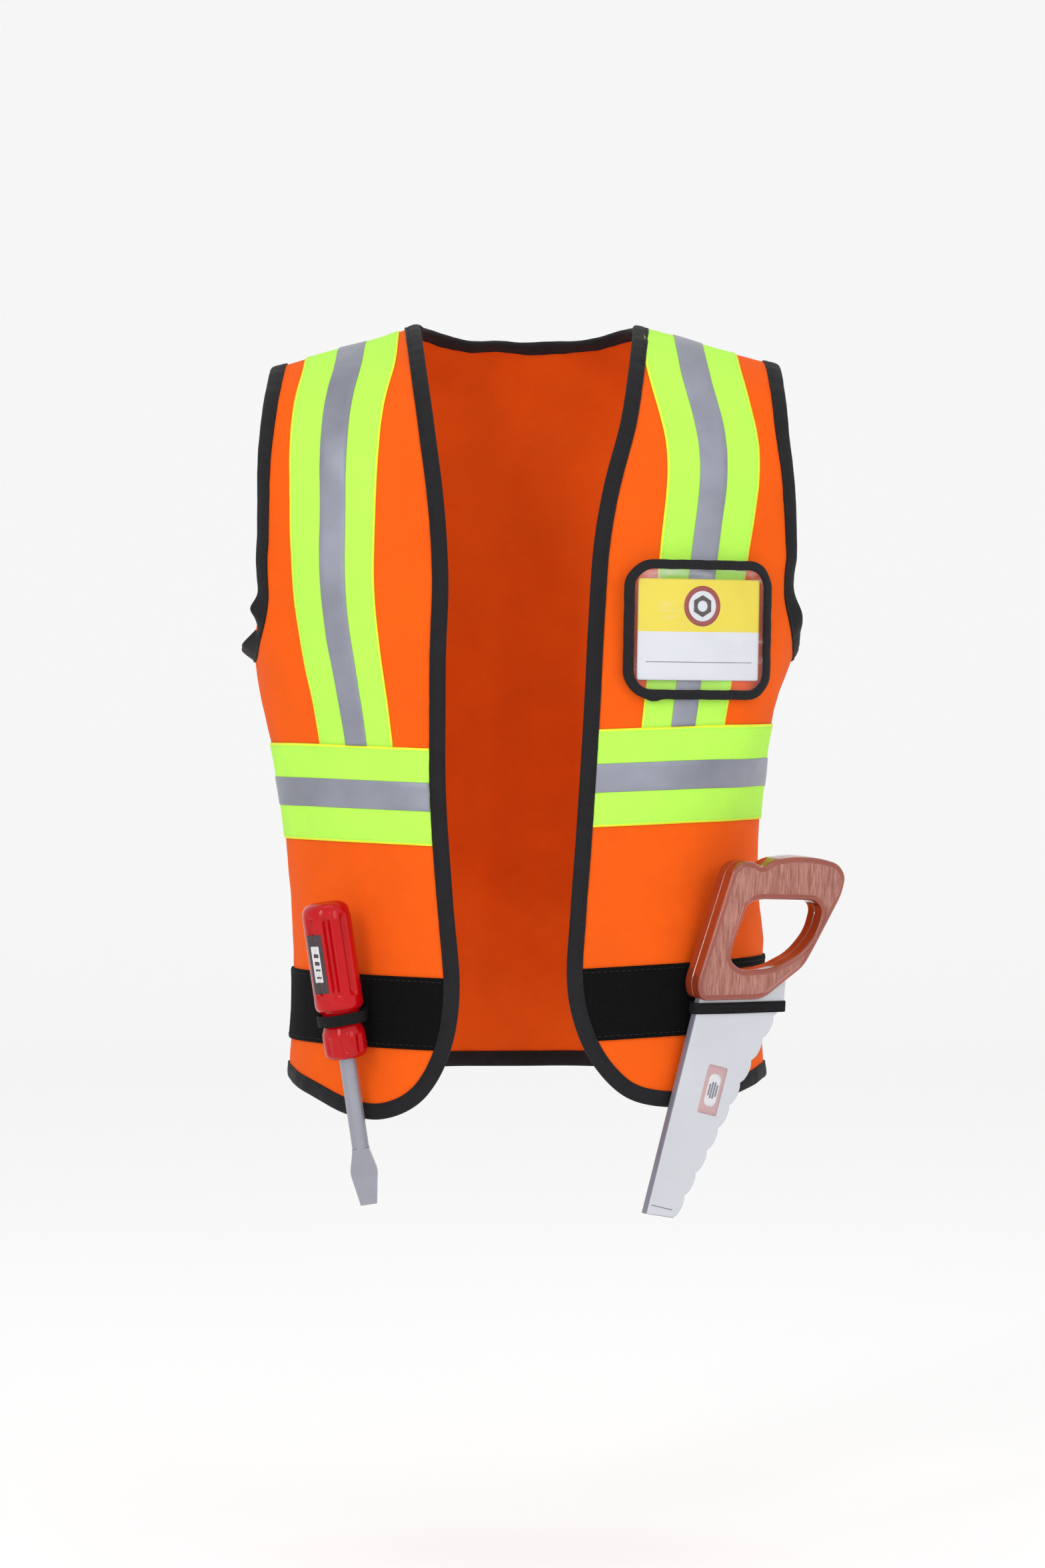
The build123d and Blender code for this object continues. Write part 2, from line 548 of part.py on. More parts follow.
# ---- the whole vest ------------------------------------------------------------------------------------------------------
def main():
    nodes = {}
    back, neck_band, hem, back_arms = back_pieces()
    nodes["back_panel"] = back
    nodes["neck_binding"] = neck_band
    nodes["back_hem_binding"] = hem
    for side, word in ((RIGHT, "right"), (LEFT, "left")):
        for name, shape in front_pieces(side).items():
            nodes[f"{word}_{name}"] = shape
        nodes[f"{word}_armhole_back_binding"] = back_arms[side]
        clear = inside_front_edge(side, BINDING_WIDTH + 0.3)
        for name, shape in tapes(side, clear).items():
            nodes[f"{word}_{name}"] = shape
        nodes[f"{word}_belt_webbing"] = belt(side, clear)
    nodes.update(back_tapes())
    nodes["back_belt_webbing"] = back_belt()
    nodes.update(badge_pieces())
    nodes.update(driver_pieces())
    nodes.update(saw_pieces())
    clearance = LAYER_GAP + WEBBING + 0.05
    nodes["screwdriver_loop"] = driver_loop(layer(FRONT, RIGHT, -25, clearance, top=-320, bottom=-400))
    nodes["saw_loop"] = saw_loop(layer(FRONT, LEFT, -25, clearance, top=-320, bottom=-400))
    os.makedirs(OUT, exist_ok=True)
    for name, shape in nodes.items():
        export_step(shape, f"{OUT}/{name}.step")


main()
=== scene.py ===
"""The looks of the high-visibility vest with its toy tool belt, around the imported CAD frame.
Shapes are worked out in millimetres in the CAD's frame and turned to metres when a mesh is made."""
import contextlib
import math

import bmesh
import bpy
import numpy as np
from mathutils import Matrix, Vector, geometry


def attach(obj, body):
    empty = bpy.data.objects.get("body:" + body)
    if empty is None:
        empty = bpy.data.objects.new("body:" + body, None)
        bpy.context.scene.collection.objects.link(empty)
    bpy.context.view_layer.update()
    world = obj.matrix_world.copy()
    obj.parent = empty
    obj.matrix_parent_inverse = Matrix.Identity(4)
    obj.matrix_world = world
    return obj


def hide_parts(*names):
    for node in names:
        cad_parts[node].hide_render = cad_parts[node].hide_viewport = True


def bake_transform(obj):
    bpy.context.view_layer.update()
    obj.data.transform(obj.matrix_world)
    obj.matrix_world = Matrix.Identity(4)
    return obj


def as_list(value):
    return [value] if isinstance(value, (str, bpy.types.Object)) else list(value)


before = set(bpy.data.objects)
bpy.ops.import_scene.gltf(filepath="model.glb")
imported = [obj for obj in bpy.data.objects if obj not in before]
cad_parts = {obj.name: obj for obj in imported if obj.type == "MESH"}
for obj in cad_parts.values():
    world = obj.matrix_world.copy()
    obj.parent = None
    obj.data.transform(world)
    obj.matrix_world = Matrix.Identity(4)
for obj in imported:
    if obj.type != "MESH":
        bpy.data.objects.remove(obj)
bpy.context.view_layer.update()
MM = 0.001
RIGHT, LEFT = -1, 1
FRONT, BACK = -1, 1
WORDS = {RIGHT: "right", LEFT: "left"}

# ---- the draped body, as the CAD has it ----
SHOULDER_Z, NECK_HALF, NECK_BACK, SHOULDER_FALL = 5.0, 57.5, 45.0, 0.266
TURN_Z, TURN_RADIUS, HALF_DEPTH = -90.0, 95.0, 96.0
ACROSS_SCALE = 190.0     # chart millimetres from the middle of a face to its side seam
LEVELS = np.array([
    (10, 170, 2.6, 168, 2.6), (-60, 170, 2.5, 168, 2.3), (-100, 166, 2.4, 164, 2.2),
    (-125, 160, 2.3, 158, 2.15), (-165, 149.5, 2.2, 147, 2.5), (-200, 143, 2.15, 134, 2.9),
    (-217, 140, 2.1, 130.5, 2.8), (-246, 135, 2.1, 126.5, 2.4), (-268, 131, 2.1, 124.5, 2.2),
    (-306, 128, 2.15, 125.5, 2.15), (-338, 127, 2.2, 126.3, 2.2), (-378, 127, 2.2, 126, 2.2),
    (-400, 129.5, 2.2, 127, 2.2), (-440, 131, 2.2, 129, 2.2)], float)
HEM_Z = -400.5
FRONT_EDGE = {
    RIGHT: [(-60, 16), (-53.5, -26), (-49, -57), (-44, -98), (-42, -139), (-43.5, -181), (-43.5, -245),
            (-39.5, -304), (-36, -349), (-41, -382), (-55, -407), (-76, -418), (-97, -416), (-118, -407),
            (-130, -400.5), (-150, -389)],
    LEFT: [(58, 16), (52.5, -26), (48, -53), (39.5, -86), (34, -119), (31, -160), (29, -201), (25.5, -260),
           (22, -308), (20, -345), (25, -371), (36, -392), (53, -407), (76, -412), (100, -410), (116, -405),
           (127, -400.5), (150, -389)]}
ARMHOLE_EDGE = {
    RIGHT: [(-137, 20), (-139, -15), (-141, -45), (-143, -80), (-144, -110), (-145, -128)],
    LEFT: [(133, 20), (135.5, -20), (138, -51), (141, -77), (142.5, -109), (143.5, -128)]}
ARMHOLE_TURN_Z, ARMHOLE_DEPTH, ARMHOLE_HALF = -128.0, 40.0, 47.0
SHOULDER_TAPE = {
    RIGHT: [(-94, 20, 50), (-95.5, -16, 50), (-101.5, -56, 48), (-102, -142, 43), (-91, -222, 40)],
    LEFT: [(84, 20, 51), (87.5, -20, 51), (97, -67, 50), (93, -118, 48), (81, -212, 44)]}
CHEST_TOP = {RIGHT: ((-44, -224), (-135, -220)), LEFT: ((30, -214), (126, -210))}
BELT_TOP = {RIGHT: ((-38, -344), (-128, -341)), LEFT: ((22, -339), (127, -334))}
# the back's tape and belt run on from those of the fronts, from one side seam to the other
BACK_CHEST_TOP, BACK_BELT_TOP = ((tops[RIGHT][1], tops[LEFT][1]) for tops in (CHEST_TOP, BELT_TOP))
TAPE_WIDTH, REFLECTOR_WIDTH, WEBBING_WIDTH = 51.0, 15.0, 38.0
BINDING_WIDTH, BINDING_WRAP = 8.5, 1.2
# where the armhole bindings kick outwards: height, size, half length
ARMHOLE_FLARES = {RIGHT: [(-147.0, 5.0, 4.5), (-157.0, -2.2, 3.0), (-166.0, 6.5, 4.5)],
                  LEFT: [(-151.0, 4.0, 9.0)]}
CLOTH_THICKNESS = 1.2
# layers on the cloth: how far off it they start, and their thickness
SHOULDER_LIME, SHOULDER_SILVER = (0.15, 0.6), (0.85, 0.3)
CHEST_LIME, CHEST_SILVER, WEBBING_LAYER = (0.25, 0.75), (1.1, 0.3), (0.15, 1.4)
SHOULDER_THREAD, CHEST_THREAD, WEBBING_THREAD = 0.8, 1.05, 1.6     # how far off the cloth stitches lie


def level(height, column):
    total = 0.0
    for step in (-1.0, -0.5, 0.0, 0.5, 1.0):
        z = np.clip(height + step * 12.0, LEVELS[-1, 0], LEVELS[0, 0])
        total = total + np.interp(-z, -LEVELS[:, 0], LEVELS[:, column])
    return total / 5


def ridge(x):
    inner = SHOULDER_Z + SHOULDER_FALL * NECK_HALF / 2 * (1 - (x / NECK_HALF) ** 2)
    return np.where(np.abs(x) < NECK_HALF, inner, SHOULDER_Z - SHOULDER_FALL * (np.abs(x) - NECK_HALF))


def row_at(height):
    return math.pi / 2 + (TURN_Z - height) / TURN_RADIUS


def smooth(value):
    value = np.clip(value, 0.0, 1.0)
    return value * value * (3 - 2 * value)


def base(face, row, across):
    """The cloth's outer face: row 0 is the shoulder seam, across runs from -1 to 1 between the side seams."""
    row, across = np.broadcast_arrays(np.asarray(row, float), np.asarray(across, float))
    angle = np.minimum(row, math.pi / 2)
    height = TURN_Z + TURN_RADIUS * np.cos(angle) - TURN_RADIUS * (row - angle)
    left = across > 0
    width = np.where(left, level(height, 3), level(height, 1))
    square = np.where(left, level(height, 4), level(height, 2))
    start = 0.45 * (1 - smooth((row - 0.6) / 1.5))
    turn = math.pi / 2 - np.abs(across) * (math.pi / 2 - start)
    out, forward = np.abs(np.cos(turn)), np.abs(np.sin(turn))
    size = (out ** square + forward ** square) ** (-1 / square)
    x = np.where(left, 1, -1) * width * out * size
    depth = HALF_DEPTH * forward * size
    sin_a, cos_a = np.sin(angle), np.cos(angle)
    fan = 1 / np.hypot(cos_a / (ridge(x) - TURN_Z), sin_a / np.maximum(depth, 1e-6))
    depth = np.where(row < math.pi / 2, fan, depth)
    z = TURN_Z - TURN_RADIUS * (row - angle) + depth * cos_a
    return np.stack([x, face * depth * sin_a, z], -1)


def normals(face, row, across):
    step = 2e-3
    low, high = np.maximum(row - step, 0), row + step
    along = base(face, high, across) - base(face, low, across)
    left, right = np.maximum(across - step, -1), np.minimum(across + step, 1)
    side = base(face, row, right) - base(face, row, left)
    return unit(np.cross(side, along) * face, 1e-9)


FOLDS = [  # direction of each fold's run, wavelength, size, phase
    ((1.0, 0.35, 0.10), 61, 0.55, 0.4), ((0.8, -0.6, 0.22), 43, 0.42, 2.1), ((0.55, 0.8, -0.16), 83, 0.7, 4.0),
    ((0.9, 0.2, -0.35), 29, 0.20, 1.3), ((0.3, 1.0, 0.30), 37, 0.26, 5.2), ((0.4, -0.5, 0.9), 55, 0.22, 3.3),
    ((0.7, 0.6, 0.8), 19, 0.07, 0.9), ((-0.6, 0.5, 0.9), 14, 0.05, 2.7), ((0.2, 0.4, 1.0), 101, 0.5, 1.9)]


def folds(p):
    """How far the cloth stands off its CAD face: soft upright folds, calmer where tape and belt hold it."""
    x, y, z = p[..., 0], p[..., 1], p[..., 2]
    total = np.zeros(x.shape)
    bend = 9 * np.sin(z / 47.0 + 1.0) + 5 * np.sin(z / 23.0 + x / 60.0)
    for (a, b, c), wavelength, size, phase in FOLDS:
        total += size * np.sin(2 * math.pi * (a * x + b * y + c * z + bend) / wavelength + phase)
    calm = 1 - 0.55 * np.exp(-((z + 248) / 26) ** 2) - 0.6 * np.exp(-((z + 360) / 24) ** 2)
    calm = calm * (0.45 + 0.55 * smooth((20 - z) / 110))
    behind = smooth((y + 20) / 60)
    return total * calm * (0.8 + 1.5 * behind) - 0.3


def surf(face, row, across, off=0.0, wave=1.0):
    row, across = np.broadcast_arrays(np.asarray(row, float), np.asarray(across, float))
    p = base(face, row, across)
    n = normals(face, row, across)
    return p + n * (np.asarray(off) + folds(p) * wave)[..., None]


def bisect(test, low, high, count=34):
    """Where test turns from true to false, entry by entry."""
    low, high = np.array(low, float), np.array(high, float)
    for _ in range(count):
        middle = (low + high) / 2
        yes = test(middle)
        low, high = np.where(yes, middle, low), np.where(yes, high, middle)
    return (low + high) / 2


def across_at(face, row, x):
    x = np.asarray(x, float)
    row = np.broadcast_to(row, x.shape)
    return bisect(lambda a: base(face, row, a)[..., 0] < x, np.full(x.shape, -1.0), np.full(x.shape, 1.0))


def chart_at(face, x, z):
    """Row and across of points seen from the front."""
    x, z = np.asarray(x, float), np.asarray(z, float)
    low = np.zeros(x.shape)
    row = bisect(lambda r: base(face, r, across_at(face, r, x))[..., 2] > z, low, low + 5.4, 30)
    return row, across_at(face, row, x)


def curve(points, count):
    """A smooth run of points through some points, evenly spaced along it."""
    p = np.array(points, float)
    ends = np.vstack([2 * p[0] - p[1], p, 2 * p[-1] - p[-2]])
    out = []
    for i in range(len(p) - 1):
        a, b, c, d = ends[i:i + 4]
        t = np.linspace(0, 1, 24, endpoint=False)[:, None]
        out.append(0.5 * (2 * b + (c - a) * t + (2 * a - 5 * b + 4 * c - d) * t ** 2
                          + (3 * b - a - 3 * c + d) * t ** 3))
    out = np.vstack(out + [p[-1:]])
    return even(out, count)


def lengths(points):
    """How far along a line each of its points is."""
    return np.concatenate([[0], np.cumsum(np.linalg.norm(np.diff(points, axis=0), axis=1))])


def unit(vectors, least=0.0):
    return vectors / np.maximum(np.linalg.norm(vectors, axis=-1, keepdims=True), least)


def even(points, count):
    """Points spread evenly along a line."""
    points = np.asarray(points, float)
    run = lengths(points)
    at = np.linspace(0, run[-1], count)
    return np.stack([np.interp(at, run, points[:, k]) for k in range(points.shape[1])], -1)


# ---- materials ----
def node(tree, kind, **values):
    """A shader node. Each value is a number, a setting, or another node's output to link to that input."""
    made = tree.nodes.new(kind)
    for key, value in values.items():
        fill(tree, made, key.replace("_", " ") if key.replace("_", " ") in made.inputs else key, value)
    return made


def fill(tree, made, key, value):
    """Sets or links an input, by its name or number, or sets one of the node's settings."""
    if isinstance(key, str) and key not in made.inputs:
        setattr(made, key, value)
    elif isinstance(value, bpy.types.NodeSocket):
        tree.links.new(value, made.inputs[key])
    else:
        made.inputs[key].default_value = value


def new_shader(name):
    """A new material, its node tree and its shader node."""
    m = bpy.data.materials.new(name)
    m.use_nodes = True
    return m, m.node_tree, m.node_tree.nodes["Principled BSDF"]


def ramp(tree, value, low, high, dark, light):
    made = node(tree, "ShaderNodeValToRGB", Fac=value)
    for element, position, colour in zip(made.color_ramp.elements, (low, high), (dark, light)):
        element.position, element.color = position, (*colour, 1)
    return made.outputs["Color"]


def math_node(tree, operation, *values):
    made = node(tree, "ShaderNodeMath", operation=operation)
    for socket, value in enumerate(values):
        fill(tree, made, socket, value)
    return made.outputs[0]


def noise(tree, place, scale, detail, roughness):
    return node(tree, "ShaderNodeTexNoise", Vector=place, Scale=scale, Detail=detail,
                Roughness=roughness).outputs["Fac"]


def spread(tree, value, given, wanted):
    """A value taken from one range to another."""
    return node(tree, "ShaderNodeMapRange", Value=value, From_Min=given[0], From_Max=given[1], To_Min=wanted[0],
                To_Max=wanted[1]).outputs["Result"]


def raised(tree, height, strength, distance):
    return node(tree, "ShaderNodeBump", Height=height, Strength=strength, Distance=distance).outputs["Normal"]


def material(name, colour, rough, shade=0.12, shade_scale=60.0, weave=None, grain=None, sheen=0.0, coat=0.0,
             second=None, metallic=0.0, bump=0.25, specular=0.5, fine=900.0):
    """A procedural surface: colour that drifts, a fine grain, and, where wanted, woven threads on the piece's
    own cloth chart. weave is (threads across per metre, threads along per metre, strength), and grain is
    (colour, scale, stretch, turn) of wood-like streaks."""
    m, tree, shader = new_shader(name)
    for socket, value in (("Metallic", metallic), ("Sheen Weight", sheen), ("Sheen Roughness", 0.4),
                          ("Coat Weight", coat), ("Coat Roughness", 0.06), ("Specular IOR Level", specular)):
        fill(tree, shader, socket, value)
    place = node(tree, "ShaderNodeTexCoord").outputs["Object"]
    drift = noise(tree, place, shade_scale, 4.0, 0.6)
    dark = [c * (1 - shade) for c in colour]
    light = second or [min(1.0, c * (1 + shade)) for c in colour]
    colour_out = ramp(tree, drift, 0.3, 0.7, dark, light)
    height = noise(tree, place, fine, 3.0, 0.55)
    if weave:
        chart = node(tree, "ShaderNodeUVMap", uv_map="cloth").outputs["UV"]
        waves = [node(tree, "ShaderNodeTexWave", Vector=chart, Scale=scale * 2 * math.pi / 20, Distortion=0.25,
                      Detail=1.0, wave_type="BANDS", bands_direction=direction, wave_profile="SIN")
                 for direction, scale in (("X", weave[0]), ("Y", weave[1]))]
        threads = math_node(tree, "MULTIPLY", *(wave.outputs["Fac"] for wave in waves))
        height = math_node(tree, "MULTIPLY_ADD", threads, weave[2], height)
        # the colour is darkened between the threads: painted shade in the weave's hollows, on top of their bump
        colour_out = node(tree, "ShaderNodeMixRGB", blend_type="MULTIPLY", Fac=min(0.3, 0.12 * weave[2]),
                          Color1=colour_out, Color2=threads).outputs["Color"]
    if grain:
        dark_grain, scale, stretch, turn = grain
        mapping = node(tree, "ShaderNodeMapping", Vector=place, Rotation=turn, Scale=stretch)
        height = noise(tree, mapping.outputs["Vector"], scale, 6.0, 0.7)
        streaks = ramp(tree, height, 0.38, 0.62, (0, 0, 0), (1, 1, 1))
        colour_out = node(tree, "ShaderNodeMixRGB", Fac=streaks, Color1=colour_out,
                          Color2=(*dark_grain, 1)).outputs["Color"]
    fill(tree, shader, "Base Color", colour_out)
    fill(tree, shader, "Roughness", spread(tree, drift, (0, 1), (max(0.03, rough - 0.08), min(1.0, rough + 0.08))))
    fill(tree, shader, "Normal", raised(tree, height, bump, 0.0004))
    return m


ORANGE = material("orange_twill", (0.86, 0.108, 0.0045), 0.8, 0.06, 28, weave=(1500, 1500, 0.8), specular=0.12)
LIME = material("lime_knit", (0.47, 0.90, 0.095), 0.75, 0.035, 50, weave=(1300, 1300, 0.7), specular=0.15)
LIME_EDGE = material("lime_selvedge", (0.80, 0.86, 0.04), 0.75, 0.05, 80, weave=(1300, 1300, 0.7), specular=0.2)
SILVER = material("reflective_silver", (0.225, 0.235, 0.285), 0.42, 0.1, 18, weave=(2200, 2200, 0.3),
                  second=(0.30, 0.31, 0.37), metallic=0.4, bump=0.12, fine=2400)
BINDING = material("binding_grosgrain", (0.0125, 0.0115, 0.0135), 0.78, 0.2, 70, weave=(900, 2100, 1.4),
                   sheen=0.04, bump=0.45, specular=0.22)
WEBBING = material("ribbed_webbing", (0.0045, 0.0042, 0.005), 0.85, 0.25, 90, weave=(640, 1500, 2.6), bump=0.9,
                   specular=0.12)
ELASTIC = material("ribbed_elastic", (0.007, 0.0065, 0.008), 0.75, 0.2, 90, weave=(900, 900, 2.0), bump=0.7,
                   specular=0.2)
THREAD = material("black_thread", (0.02, 0.019, 0.022), 0.6, 0.2, 200, specular=0.2)
LIME_THREAD = material("lime_thread", (0.42, 0.80, 0.10), 0.6, 0.1, 200, sheen=0.1)
RED = material("red_moulded_plastic", (0.44, 0.0010, 0.004), 0.12, 0.12, 30, coat=0.35, bump=0.02, specular=0.1,
               fine=300)
SHAFT = material("grey_moulded_plastic", (0.27, 0.275, 0.32), 0.28, 0.06, 30, coat=0.3, metallic=0.35,
                 bump=0.05, fine=500)
BLADE = material("pale_grey_plastic", (0.52, 0.535, 0.575), 0.36, 0.04, 22, coat=0.15, bump=0.05, fine=600)
SPINE = material("dark_grey_plastic", (0.17, 0.17, 0.215), 0.35, 0.06, 22, coat=0.2, bump=0.05, fine=600)
WOOD = material("woodgrain_plastic_face", (0.42, 0.185, 0.150), 0.45, 0.10, 40,
                grain=((0.235, 0.070, 0.045), 70.0, (11.0, 11.0, 0.8), (0.0, 0.0, 0.0)), bump=0.4)
BROWN = material("brown_moulded_plastic", (0.25, 0.036, 0.013), 0.17, 0.15, 30, coat=0.8, bump=0.04, fine=300)
STEEL = material("screw_steel", (0.5, 0.5, 0.52), 0.3, 0.1, 200, metallic=1.0, bump=0.1)
CARD_YELLOW = material("card_yellow", (0.70, 0.57, 0.016), 0.42, 0.03, 50, bump=0.05)
CARD_WHITE = material("card_white", (0.60, 0.61, 0.66), 0.42, 0.02, 50, bump=0.05)
CARD_LINE = material("card_line_grey", (0.18, 0.19, 0.22), 0.5, 0.05, 50, bump=0.05)
CARD_RING = material("card_ring_brown", (0.27, 0.022, 0.014), 0.4, 0.05, 50, bump=0.05)
CARD_DARK = material("card_dark", (0.045, 0.03, 0.03), 0.4, 0.05, 50, bump=0.05)
STICKER_BLACK = material("sticker_black", (0.03, 0.012, 0.014), 0.25, 0.1, 60, coat=0.3, bump=0.04)
STICKER_PALE = material("sticker_pale", (0.62, 0.62, 0.64), 0.3, 0.05, 60, coat=0.3, bump=0.04)
STICKER_PINK = material("sticker_pink", (0.48, 0.30, 0.31), 0.3, 0.05, 60, coat=0.3, bump=0.04)


def vinyl_material():
    """Clear sheet with soft slanting glints painted in: whitish streaks of higher alpha stand in for reflections.
    """
    m, tree, shader = new_shader("clear_vinyl_sheet")
    place = node(tree, "ShaderNodeTexCoord").outputs["Object"]
    slant = node(tree, "ShaderNodeMapping", Vector=place, Rotation=(0.0, math.radians(38), 0.0),
                 Scale=(1.0, 1.0, 4.0))
    painted_glint = noise(tree, slant.outputs["Vector"], 28.0, 3.0, 0.5)
    ripples = noise(tree, place, 45.0, 2.0, 0.5)
    for socket, value in (("Base Color", (0.93, 0.95, 1.0, 1)), ("Coat Weight", 1.0), ("Coat Roughness", 0.05),
                          # painted reflection: the white sheet's alpha rises in slanting streaks
                          ("Alpha", spread(tree, painted_glint, (0.56, 0.74), (0.022, 0.2))),
                          ("Roughness", spread(tree, ripples, (0, 1), (0.04, 0.16))),
                          ("Normal", raised(tree, ripples, 0.25, 0.002))):
        fill(tree, shader, socket, value)
    return m


VINYL = vinyl_material()


# ---- mesh making ----
def make(name, points, faces, mats, indices=None, uv=None, outward=False):
    """A piece from points in millimetres. Outward turns its faces to the outside."""
    mesh = bpy.data.meshes.new(name)
    mesh.from_pydata((np.asarray(points, float) * MM).tolist(), [], [tuple(int(i) for i in f) for f in faces])
    for m in mats:
        mesh.materials.append(m)
    if indices is not None:
        mesh.polygons.foreach_set("material_index", np.asarray(indices, np.int32))
    if uv is not None:
        layer = mesh.uv_layers.new(name="cloth")
        corner = np.empty(len(mesh.loops), np.int32)
        mesh.loops.foreach_get("vertex_index", corner)
        layer.data.foreach_set("uv", (np.asarray(uv, float) * MM)[corner].astype(np.float32).ravel())
    mesh.validate()
    mesh.polygons.foreach_set("use_smooth", np.full(len(mesh.polygons), True, bool))
    mesh.update()
    if outward:
        with edited(mesh) as solid:
            bmesh.ops.recalc_face_normals(solid, faces=solid.faces)
    piece = bpy.data.objects.new(name, mesh)
    bpy.context.scene.collection.objects.link(piece)
    return piece


@contextlib.contextmanager
def edited(mesh):
    """A mesh as bmesh, written back when it is done with."""
    solid = bmesh.new()
    solid.from_mesh(mesh)
    yield solid
    solid.to_mesh(mesh)
    solid.free()


def stand(piece, body, slot, *nodes, blend=None):
    """Rides a piece on its body, or, for a piece on a flap, bakes its placement into its mesh, and hides the CAD
    parts that it stands for.
    """
    if blend:
        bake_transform(piece)
    else:
        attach(piece, body)
    if nodes:
        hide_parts(*nodes)
    return piece


def grid_faces(rows, columns, start=0, closed=False):
    out = []
    last = columns if closed else columns - 1
    for i in range(rows - 1):
        for j in range(last):
            a, b = start + i * columns + j, start + i * columns + (j + 1) % columns
            out.append((a, b, b + columns, a + columns))
    return out


def torus_faces(rings, columns):
    """Faces of rings of points, the last of them joined to the first."""
    last = (rings - 1) * columns
    return grid_faces(rings, columns, 0, True) + [(last + j, last + (j + 1) % columns, (j + 1) % columns, j)
                                                  for j in range(columns)]


def slab(top, bottom):
    """Points and faces of a thin closed sheet between two grids of the same size."""
    rows, columns = top.shape[:2]
    count = rows * columns
    faces = grid_faces(rows, columns) + [f[::-1] for f in grid_faces(rows, columns, count)]
    rim = [j for j in range(columns)] + [i * columns + columns - 1 for i in range(1, rows)]
    rim += [(rows - 1) * columns + j for j in range(columns - 2, -1, -1)]
    rim += [i * columns for i in range(rows - 2, 0, -1)]
    for k, a in enumerate(rim):
        b = rim[(k + 1) % len(rim)]
        faces.append((a, a + count, b + count, b))
    return np.vstack([top.reshape(-1, 3), bottom.reshape(-1, 3)]), faces


def chart_slab(name, face, row, across, off, thick, mats, edge=0.0, side_mat=None, pressed=False):
    """A flat tape that follows the drape: row and across are grids. edge is how far its rims are rounded.
    A pressed tape is flattened at its start, where a binding is sewn over it."""
    rows, columns = row.shape
    near = np.minimum(np.arange(columns), np.arange(columns)[::-1])[None, :] * np.ones((rows, 1))
    lift = off + thick - edge * (near == 0)
    if pressed:
        lift = lift - np.clip(2.6 - np.arange(rows), 0, 1.6)[:, None] * 0.55 * thick
    top, bottom = surf(face, row, across, lift), surf(face, row, across, np.full(row.shape, off))
    points, faces = slab(top, bottom)
    chart = np.stack([across * ACROSS_SCALE, row * TURN_RADIUS], -1).reshape(-1, 2)
    indices = np.zeros(len(faces), int)
    if side_mat:
        for i in range(rows - 1):
            for j in (0, columns - 2):
                indices[i * (columns - 1) + j] = side_mat
    return make(name, points, faces, mats, indices, np.vstack([chart, chart]))


def inside_loop(points, loop):
    """Which flat points are inside a closed loop."""
    hit = np.zeros(len(points), bool)
    for p, q in zip(loop, np.roll(loop, -1, 0)):
        crosses = (p[1] > points[:, 1]) != (q[1] > points[:, 1])
        rise = q[1] - p[1] if q[1] != p[1] else 1e-9
        hit ^= crosses & (points[:, 0] < (q[0] - p[0]) * (points[:, 1] - p[1]) / rise + p[0])
    return hit


def patch(name, face, outline, off, thick, mats, spacing=3.0):
    """Cloth inside a closed outline of (across, row) chart points, in chart millimetres."""
    outline = np.asarray(outline, float)
    low, high = outline.min(0), outline.max(0)
    xs = np.arange(low[0] + spacing / 2, high[0], spacing)
    ys = np.arange(low[1] + spacing / 2, high[1], spacing * 0.866)
    gx, gy = np.meshgrid(xs, ys)
    gx = gx + (np.arange(len(ys)) % 2 * spacing / 2)[:, None]
    lattice = np.stack([gx.ravel(), gy.ravel()], -1)
    gap = np.full(len(lattice), 1e9)
    for p, q in zip(outline, np.roll(outline, -1, 0)):
        run = q - p
        t = np.clip(((lattice - p) @ run) / max(run @ run, 1e-9), 0, 1)
        gap = np.minimum(gap, np.linalg.norm(lattice - p - t[:, None] * run, axis=1))
    lattice = lattice[inside_loop(lattice, outline) & (gap > spacing * 0.55)]
    both = [Vector(p) for p in np.vstack([outline, lattice])]
    verts, _, faces, *_ = geometry.delaunay_2d_cdt(both, [], [list(range(len(outline)))], 1, 1e-5)
    chart = np.array([tuple(v) for v in verts])
    row, across = chart[:, 1] / TURN_RADIUS, np.clip(chart[:, 0] / ACROSS_SCALE, -1, 1)
    top, bottom = surf(face, row, across, off), surf(face, row, across, off - thick)
    count = len(top)
    faces = [tuple(f) for f in faces]
    sample = faces[len(faces) // 2]
    p0, p1, p2 = (top[i] for i in sample[:3])
    if np.dot(np.cross(p1 - p0, p2 - p0), normals(face, row, across)[sample[0]]) <= 0:
        faces = [f[::-1] for f in faces]
    edges = dict.fromkeys((f[i], f[(i + 1) % len(f)]) for f in faces for i in range(len(f)))
    walls = [(v, v + count, u + count, u) for u, v in edges if (v, u) not in edges]
    under = [tuple(i + count for i in f[::-1]) for f in faces]
    return make(name, np.vstack([top, bottom]), faces + under + walls, mats, None, np.vstack([chart, chart]))


def inward_steps(face, row, across, path, sign):
    """For each point of a path on the drape: the chart step that goes 1 mm to its inner side."""
    tangent = unit(np.gradient(path, axis=0))
    n = normals(face, row, across)
    inward = np.cross(n, tangent) * sign
    step = 1e-3
    d_row = (base(face, row + step, across) - base(face, row, across)) / step
    back = np.where(across > 0.99, -1, 1)
    d_across = (base(face, row, across + step * back) - base(face, row, across)) / (step * back)[:, None]
    aa, ab, bb = (d_row ** 2).sum(1), (d_row * d_across).sum(1), (d_across ** 2).sum(1)
    pa, pb = (inward * d_row).sum(1), (inward * d_across).sum(1)
    det = np.maximum(aa * bb - ab * ab, 1e-6)
    return (pa * bb - pb * ab) / det, (pb * aa - pa * ab) / det, n, tangent


